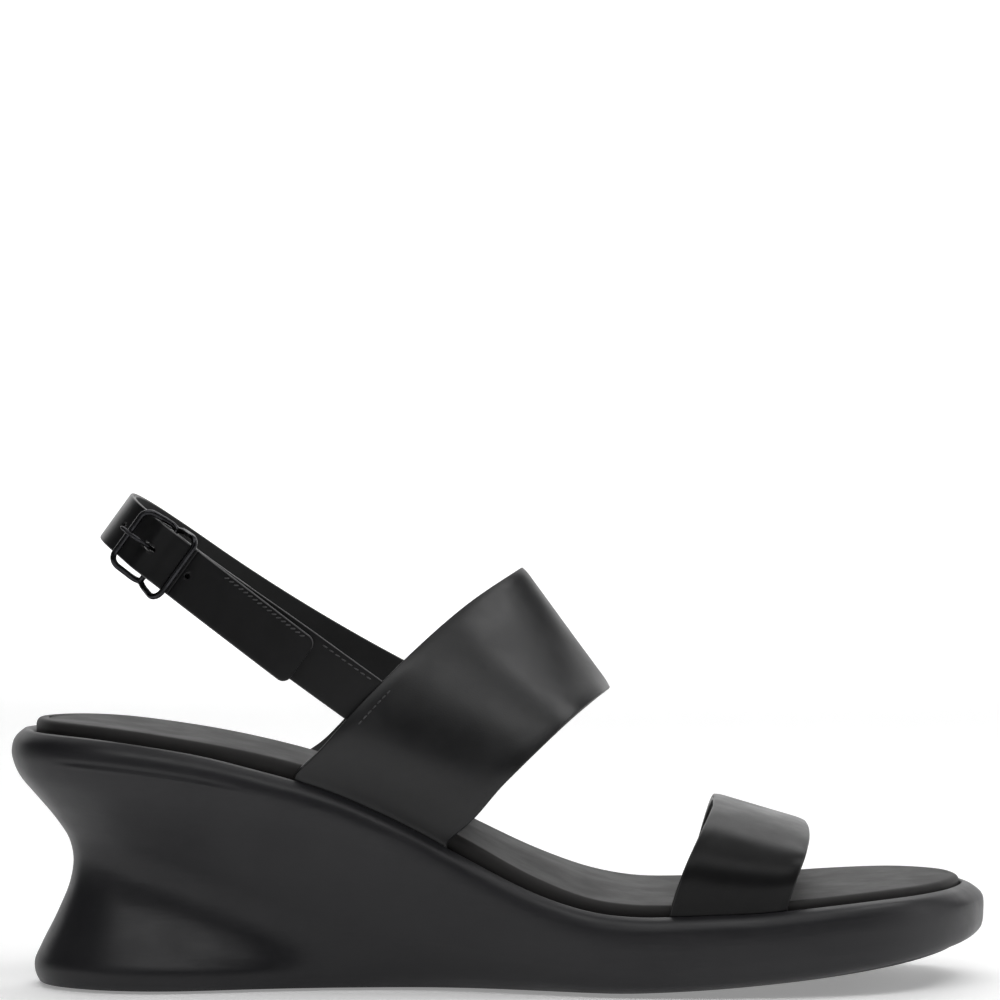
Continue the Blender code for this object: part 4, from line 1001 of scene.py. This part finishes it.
def add_slingback(m, straps):
    gap = CHAPE_GAP
    loop_in = BAR_RADIUS + 0.12
    s_back = S_BAR - CHAPE_BACK
    s_first = s_at(STRAP_START_A)
    s_near = S_BAR - 9

    def spread(s):
        return gap + (loop_in - gap) * smoothstep(s, S_BAR - 8.0, S_BAR - 0.5)

    # chape: one strap from under the instep strap, round the centre bar and back inside
    stations = two_spans((s_first, s_near, 60), (s_near, S_BAR, 24))
    points, _, normals = path_frames(stations)
    rows = [(p + n * spread(s), n, chape_w(s)) for p, n, s in zip(points, normals, stations)]
    bar, tangent, normal = (v[0] for v in path_frames(S_BAR))
    for angle in np.linspace(0, 180, 19)[1:-1]:
        a = math.radians(angle)
        direction = normal * math.cos(a) + tangent * math.sin(a)
        rows.append((bar + direction * loop_in, direction, chape_w(S_BAR)))
    stations = two_spans((S_BAR, s_near, 24), (s_near, s_back, 20))
    points, _, normals = path_frames(stations)
    rows += [(p - n * spread(s), -n, chape_w(s)) for p, n, s in zip(points, normals, stations)]
    points, normals, middles = zip(*rows)
    # the chape's edges take the lighter edge paint, a painted highlight
    chape = strip(
        "chape_skin", [m["leather"], m["painted_highlight_edge"]], points, normals,
        0.0, CHAPE_THICK, SLING_HALF - 0.2, middles, bevel=0.28,
    )
    slot = Body()
    signs = [(x, y, z) for x in (-1, 1) for y in (-1, 1) for z in (-1, 1)]
    slot.add([buckle_point(0.9 + x * 3.6, y * 1.7, z * 3.4) for x, y, z in signs])
    for f in ((0, 1, 3, 2), (4, 6, 7, 5), (0, 4, 5, 1), (2, 3, 7, 6), (0, 2, 6, 4), (1, 5, 7, 3)):
        slot.face(f)
    drill(chape, make("slot_cutter", slot, [m["edge"]]))
    bend(chape, "shoe", "slingback", *NEAR_FOLD, "black_leather", "chape_strap", "sling_tab_lateral")

    stations = np.linspace(s_first, s_back - 0.6, 70)
    points, _, normals = path_frames(stations)
    lining = strip(
        "chape_inner", [m["lining"], m["edge"]], points, normals,
        -gap - 0.9, -gap, SLING_HALF - 0.28, chape_w(stations), bevel=0.28,
    )
    bend(lining, "shoe", "slingback", *NEAR_FOLD, "black_lining", "chape_lining")

    # heel strap: from under the instep strap on the far side, round the heel and over the centre bar
    seam = S_BAR - FRAME_HALF_LONG
    s_end = s_at(STRAP_START_A, True)
    stations = two_spans((seam, S_BAR + 12.0, 60), (S_BAR + 12.0, s_end, 150))
    add_sling_layers(
        "heel_strap", stations, [SLING_HALF] * len(stations), m,
        lambda piece, slot, node: bend(piece, "slingback", "shoe", *FAR_FOLD, slot, *node),
        (("heel_strap_outer", "sling_tab_medial"), ("heel_strap_lining",)),
    )

    # billet tip: the loose end beyond the buckle
    rounded = S_BILLET_END + BILLET_CORNER * (1 - np.cos(np.linspace(0.02, math.pi / 2, 14)))
    straight = np.linspace(S_BILLET_END + BILLET_CORNER, seam - 0.02, 60)[1:]
    stations = np.concatenate([rounded, straight])
    halves = [half_at_end(s, S_BILLET_END, BILLET_CORNER, SLING_HALF) for s in stations]
    start = place(path_frames(S_FLAP + 2.6)[0][0], BILLET_W)[0]
    end = place(path_frames(S_FLAP - 3.0)[0][0], BILLET_W)[0]
    add_sling_layers(
        "billet_tip", stations, halves, m,
        lambda piece, slot, node: bend(piece, "slingback", "billet", start, end, slot, *node),
        (("billet_tip_outer",), ("billet_tip_lining",)),
    )
    add_sling_threads(m, start, end)
    add_instep_thread(m, straps["instep"])


def add_sling_layers(name, stations, halves, m, attach, nodes):
    points, _, normals = path_frames(stations)
    base = billet_height(stations)
    middles = heel_w(stations)
    top = base + BILLET_LINING
    low, high = top + LAYER_CLEAR, top + LAYER_CLEAR + BILLET_OUTER
    halves = np.array(halves)
    # the outer layer's edges take the lighter edge paint, a painted highlight
    mats = [m["leather"], m["painted_highlight_edge"]]
    outer = strip(name + "_skin", mats, points, normals, low, high, halves, middles, bevel=0.34)
    mats = [m["lining"], m["edge"]]
    inner = strip(name + "_inner", mats, points, normals, base, top, halves - 0.05, middles, bevel=0.26)
    for piece in (outer, inner):
        for t, along, across in HOLES:
            hole = Body()
            middle, forward, out = hole_middle(t)
            turns = [2 * math.pi * k / 20 for k in range(20)]
            ring = [middle + along * math.cos(a) * forward + across * math.sin(a) * WIDE for a in turns]
            low, high = hole.loft([[p + depth * out for p in ring] for depth in (-4, 5)])
            hole.face(low)
            hole.face(high)
            drill(piece, make("hole_cutter", hole, [m["edge"]]))
    attach(outer, "black_leather", nodes[0])
    attach(inner, "black_lining", nodes[1])


def hole_middle(t):
    s = S_BAR + t
    point, tangent, normal = (v[0] for v in path_frames(s))
    at = place(point, float(heel_w(s)))[0]
    return at, ALONG * tangent[0] + ACROSS * tangent[1], ALONG * normal[0] + ACROSS * normal[1]


def drill(obj, cutter):
    cut = obj.modifiers.new("hole", "BOOLEAN")
    cut.operation, cut.solver, cut.object = "DIFFERENCE", "EXACT", cutter
    graph = bpy.context.evaluated_depsgraph_get()
    obj.data = bpy.data.meshes.new_from_object(obj.evaluated_get(graph))
    obj.modifiers.clear()
    bpy.data.objects.remove(cutter)


def thread_row(name, s, height, w, m, pitch, length, radius, slant):
    """A stitch row along the slingback, height above its path and w up from the middle."""
    points, _, normals = path_frames(s)
    line = np.array([place(p + n * h, float(c))[0] for p, n, h, c in zip(points, normals, height, w)])
    up = np.array([ALONG * n[0] + ACROSS * n[1] for n in normals])
    return stitches(name, line, up, pitch, length, radius, m["thread"], slant=slant)


def add_sling_threads(m, start, end):
    """Slanting stitches along the billet's upper edge, and a finer row on the chape beyond its tip."""
    s = np.linspace(S_BILLET_END + 3.0, S_BAR - 17.5, 60)
    top = billet_height(s) + BILLET_LINING + LAYER_CLEAR + BILLET_OUTER
    up = heel_w(s) + SLING_HALF - 1.15
    row = thread_row("billet_thread", s, top, up, m, 1.5, 1.3, 0.19, math.radians(34))
    bend(row, "slingback", "billet", start, end, "black_leather")
    s = np.linspace(s_at(1.0), S_BILLET_END - 1.5, 40)
    top = np.full(len(s), CHAPE_THICK + 0.05)
    up = chape_w(s) + SLING_HALF - 1.6
    row = thread_row("chape_thread", s, top, up, m, 1.9, 1.35, 0.17, math.radians(8))
    bend(row, "shoe", "slingback", *NEAR_FOLD, "black_leather")


def add_instep_thread(m, strap):
    """The short row that sews the slingback's near end to the instep strap."""
    line, normals = strap.line(0.078, LAYER_GAP / 2 + OUTER_THICK - 0.02)
    picked = (line[:, 1] < -20.0) & (line[:, 2] > 68.5) & (line[:, 2] < 78.5)
    row = stitches("instep_thread", line[picked], normals[picked], 1.7, 1.25, 0.2, m["thread"])
    place_piece(row, "shoe", "black_leather")


def add_buckle(m):
    corner = 2.6
    loop = []
    long_half, wide_half = FRAME_HALF_LONG, FRAME_HALF_WIDE
    for cx, cy, first in ((1, 1, 0), (-1, 1, 90), (-1, -1, 180), (1, -1, 270)):
        for angle in np.linspace(first, first + 90, 14):
            a = math.radians(angle)
            at = cx * (long_half - corner), cy * (wide_half - corner)
            loop.append((at[0] + corner * math.cos(a), at[1] + corner * math.sin(a)))
        if cx == cy:
            for t in np.linspace(0.9, -0.9, 19):
                dent = 0.5 * math.exp(-((t / 0.22) ** 2))
                loop.append((cx * t * (long_half - corner), cy * (wide_half - dent)))
        else:
            for t in np.linspace(0.8, -0.8, 7):
                loop.append((cx * long_half, cy * t * (wide_half - corner)))
    ring = []
    for t, w in loop:
        rise = FRAME_RISE * (1 - math.cos(math.pi * min(1.0, abs(t) / long_half))) / 2
        w = w * (1 - FRAME_TAPER * t / wide_half) + FRAME_DROP + FRAME_SKEW * t
        ring.append(buckle_point(t, w, rise))
    body = Body().tube(ring, WIRE_RADIUS, 14, up=BUCKLE_N, closed=True)
    ws = np.linspace(-FRAME_HALF_WIDE + 0.5, FRAME_HALF_WIDE - 0.5, 9)
    body.tube([buckle_point(0, w + FRAME_DROP, 0) for w in ws], BAR_RADIUS, 14, up=BUCKLE_N)
    frame_piece = make("buckle_loop", body, [m["metal"]])
    place_piece(frame_piece, "buckle", "gunmetal", "buckle_frame")

    path = [buckle_point(t, 0, n) for t, n in spline(PRONG_LINE, per=9)]
    radii = np.interp(np.linspace(0, 1, len(path)), (0, 0.15, 0.8, 0.96, 1.0), (0.55, 0.62, 0.62, 0.5, 0.25))
    body = Body().tube(path, radii, 14, up=WIDE, flat=0.9)
    turns = np.linspace(0, 2 * math.pi, 36, endpoint=False)
    around = [buckle_point(1.3 * math.cos(a), 0, 1.3 * math.sin(a)) for a in turns]
    for w in (-0.72, 0.0, 0.72):
        body.tube([p + WIDE * w for p in around], 0.36, 10, up=WIDE, closed=True)
    prong = make("prong_wire", body, [m["metal"]])
    place_piece(prong, "prong", "gunmetal", "buckle_prong")


def add_stage():
    floor = Body()
    rows = []
    profile = [(-FLOOR_HALF, 0.0, FLOOR_HALF), (WALL_BEND_Y, 0.0, WALL_HALF)]
    for a in np.linspace(0.1, math.pi / 2, 12):
        rise = WALL_BEND_R * (1 - math.cos(a))
        profile.append((WALL_BEND_Y + WALL_BEND_R * math.sin(a), rise, WALL_HALF))
    profile.append((WALL_BEND_Y + WALL_BEND_R, WALL_TOP, WALL_HALF))
    for y, z, side in profile:
        rows.append(floor.add([(-side, y, z - 0.3), (side, y, z - 0.3)]))
    for a, b in zip(rows, rows[1:]):
        floor.face((a[0], a[1], b[1], b[0]))
    # the paper glows more towards its far end, so that it stays evenly pale behind the shoe
    n = Nodes("studio_paper", (0.92, 0.92, 0.92), 0.9, Emission_Color=(1.0, 1.0, 1.0, 1.0))
    split = n.tree.nodes.new("ShaderNodeSeparateXYZ")
    n.link(n.coords, split.inputs["Vector"])
    glow = n.ramp(split.outputs["Y"], 0.9, 1.8, 0.26, 0.80)
    n.link(glow, n.shader.inputs["Emission Strength"])
    n.bump(n.noise(200.0, 3.0), 0.02, 0.0002)
    mesh = bpy.data.meshes.new("studio_sweep")
    mesh.from_pydata([tuple(c * MM for c in v) for v in floor.verts], [], floor.faces)
    mesh.materials.append(n.material)
    mesh.shade_smooth()
    sweep = bpy.data.objects.new("studio_sweep", mesh)
    bpy.context.scene.collection.objects.link(sweep)


def add_lights():
    world = bpy.data.worlds.new("studio_air")
    world.use_nodes = True
    air = world.node_tree.nodes["Background"].inputs
    air["Color"].default_value = (0.92, 0.93, 0.95, 1.0)
    air["Strength"].default_value = 0.02
    bpy.context.scene.world = world
    middle = (0.0, 0.0, 0.05)
    for name, at, target, size, power in (
        ("overhead_softbox", (0.0, 0.0, 1.5), (0.0, 0.0, 0.0), (1.2, 1.2), 2.4),
        ("rear_strip", (0.0, 0.9, 1.3), middle, (1.6, 0.6), 7.2),
        ("front_strip", (0.0, -0.9, 1.3), middle, (1.6, 0.6), 7.2),
        ("toe_side_softbox", (1.5, 0.0, 0.5), middle, (1.2, 0.9), 4.0),
        ("high_side_softbox", (0.80, -0.05, 1.15), middle, (0.5, 0.5), 3.2),
        ("heel_front_fill", (-1.1, -1.2, 0.9), middle, (0.8, 0.8), 0.9),
    ):
        data = bpy.data.lights.new(name, "AREA")
        data.shape = "RECTANGLE"
        data.size, data.size_y = size
        data.energy = power
        light = bpy.data.objects.new(name, data)
        light.location = at
        light.rotation_euler = (Vector(target) - Vector(at)).to_track_quat("-Z", "Y").to_euler()
        bpy.context.scene.collection.objects.link(light)


def add_camera():
    data = bpy.data.cameras.new("main_camera")
    data.sensor_width = 36.0
    data.lens = CAMERA_LENS
    camera = bpy.data.objects.new("main_camera", data)
    camera.location = CAMERA_AT_M
    camera.rotation_euler = (math.radians(90.0 - CAMERA_DOWN), 0.0, 0.0)
    bpy.context.scene.collection.objects.link(camera)
    bpy.context.scene.camera = camera


def main():
    m = materials()
    add_camera()
    add_sole(m)
    straps = add_straps(m)
    add_slingback(m, straps)
    add_buckle(m)
    for node, key in (
        ("insole_board", "board"), ("footbed_pad", "foam"), ("steel_shank", "steel"),
        ("shank_rivet_rear", "steel"), ("shank_rivet_front", "steel"),
    ):
        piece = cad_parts[node]
        piece.data.materials.clear()
        piece.data.materials.append(m[key])
    add_stage()
    add_lights()
    bpy.context.scene.view_settings.view_transform = "Standard"


main()
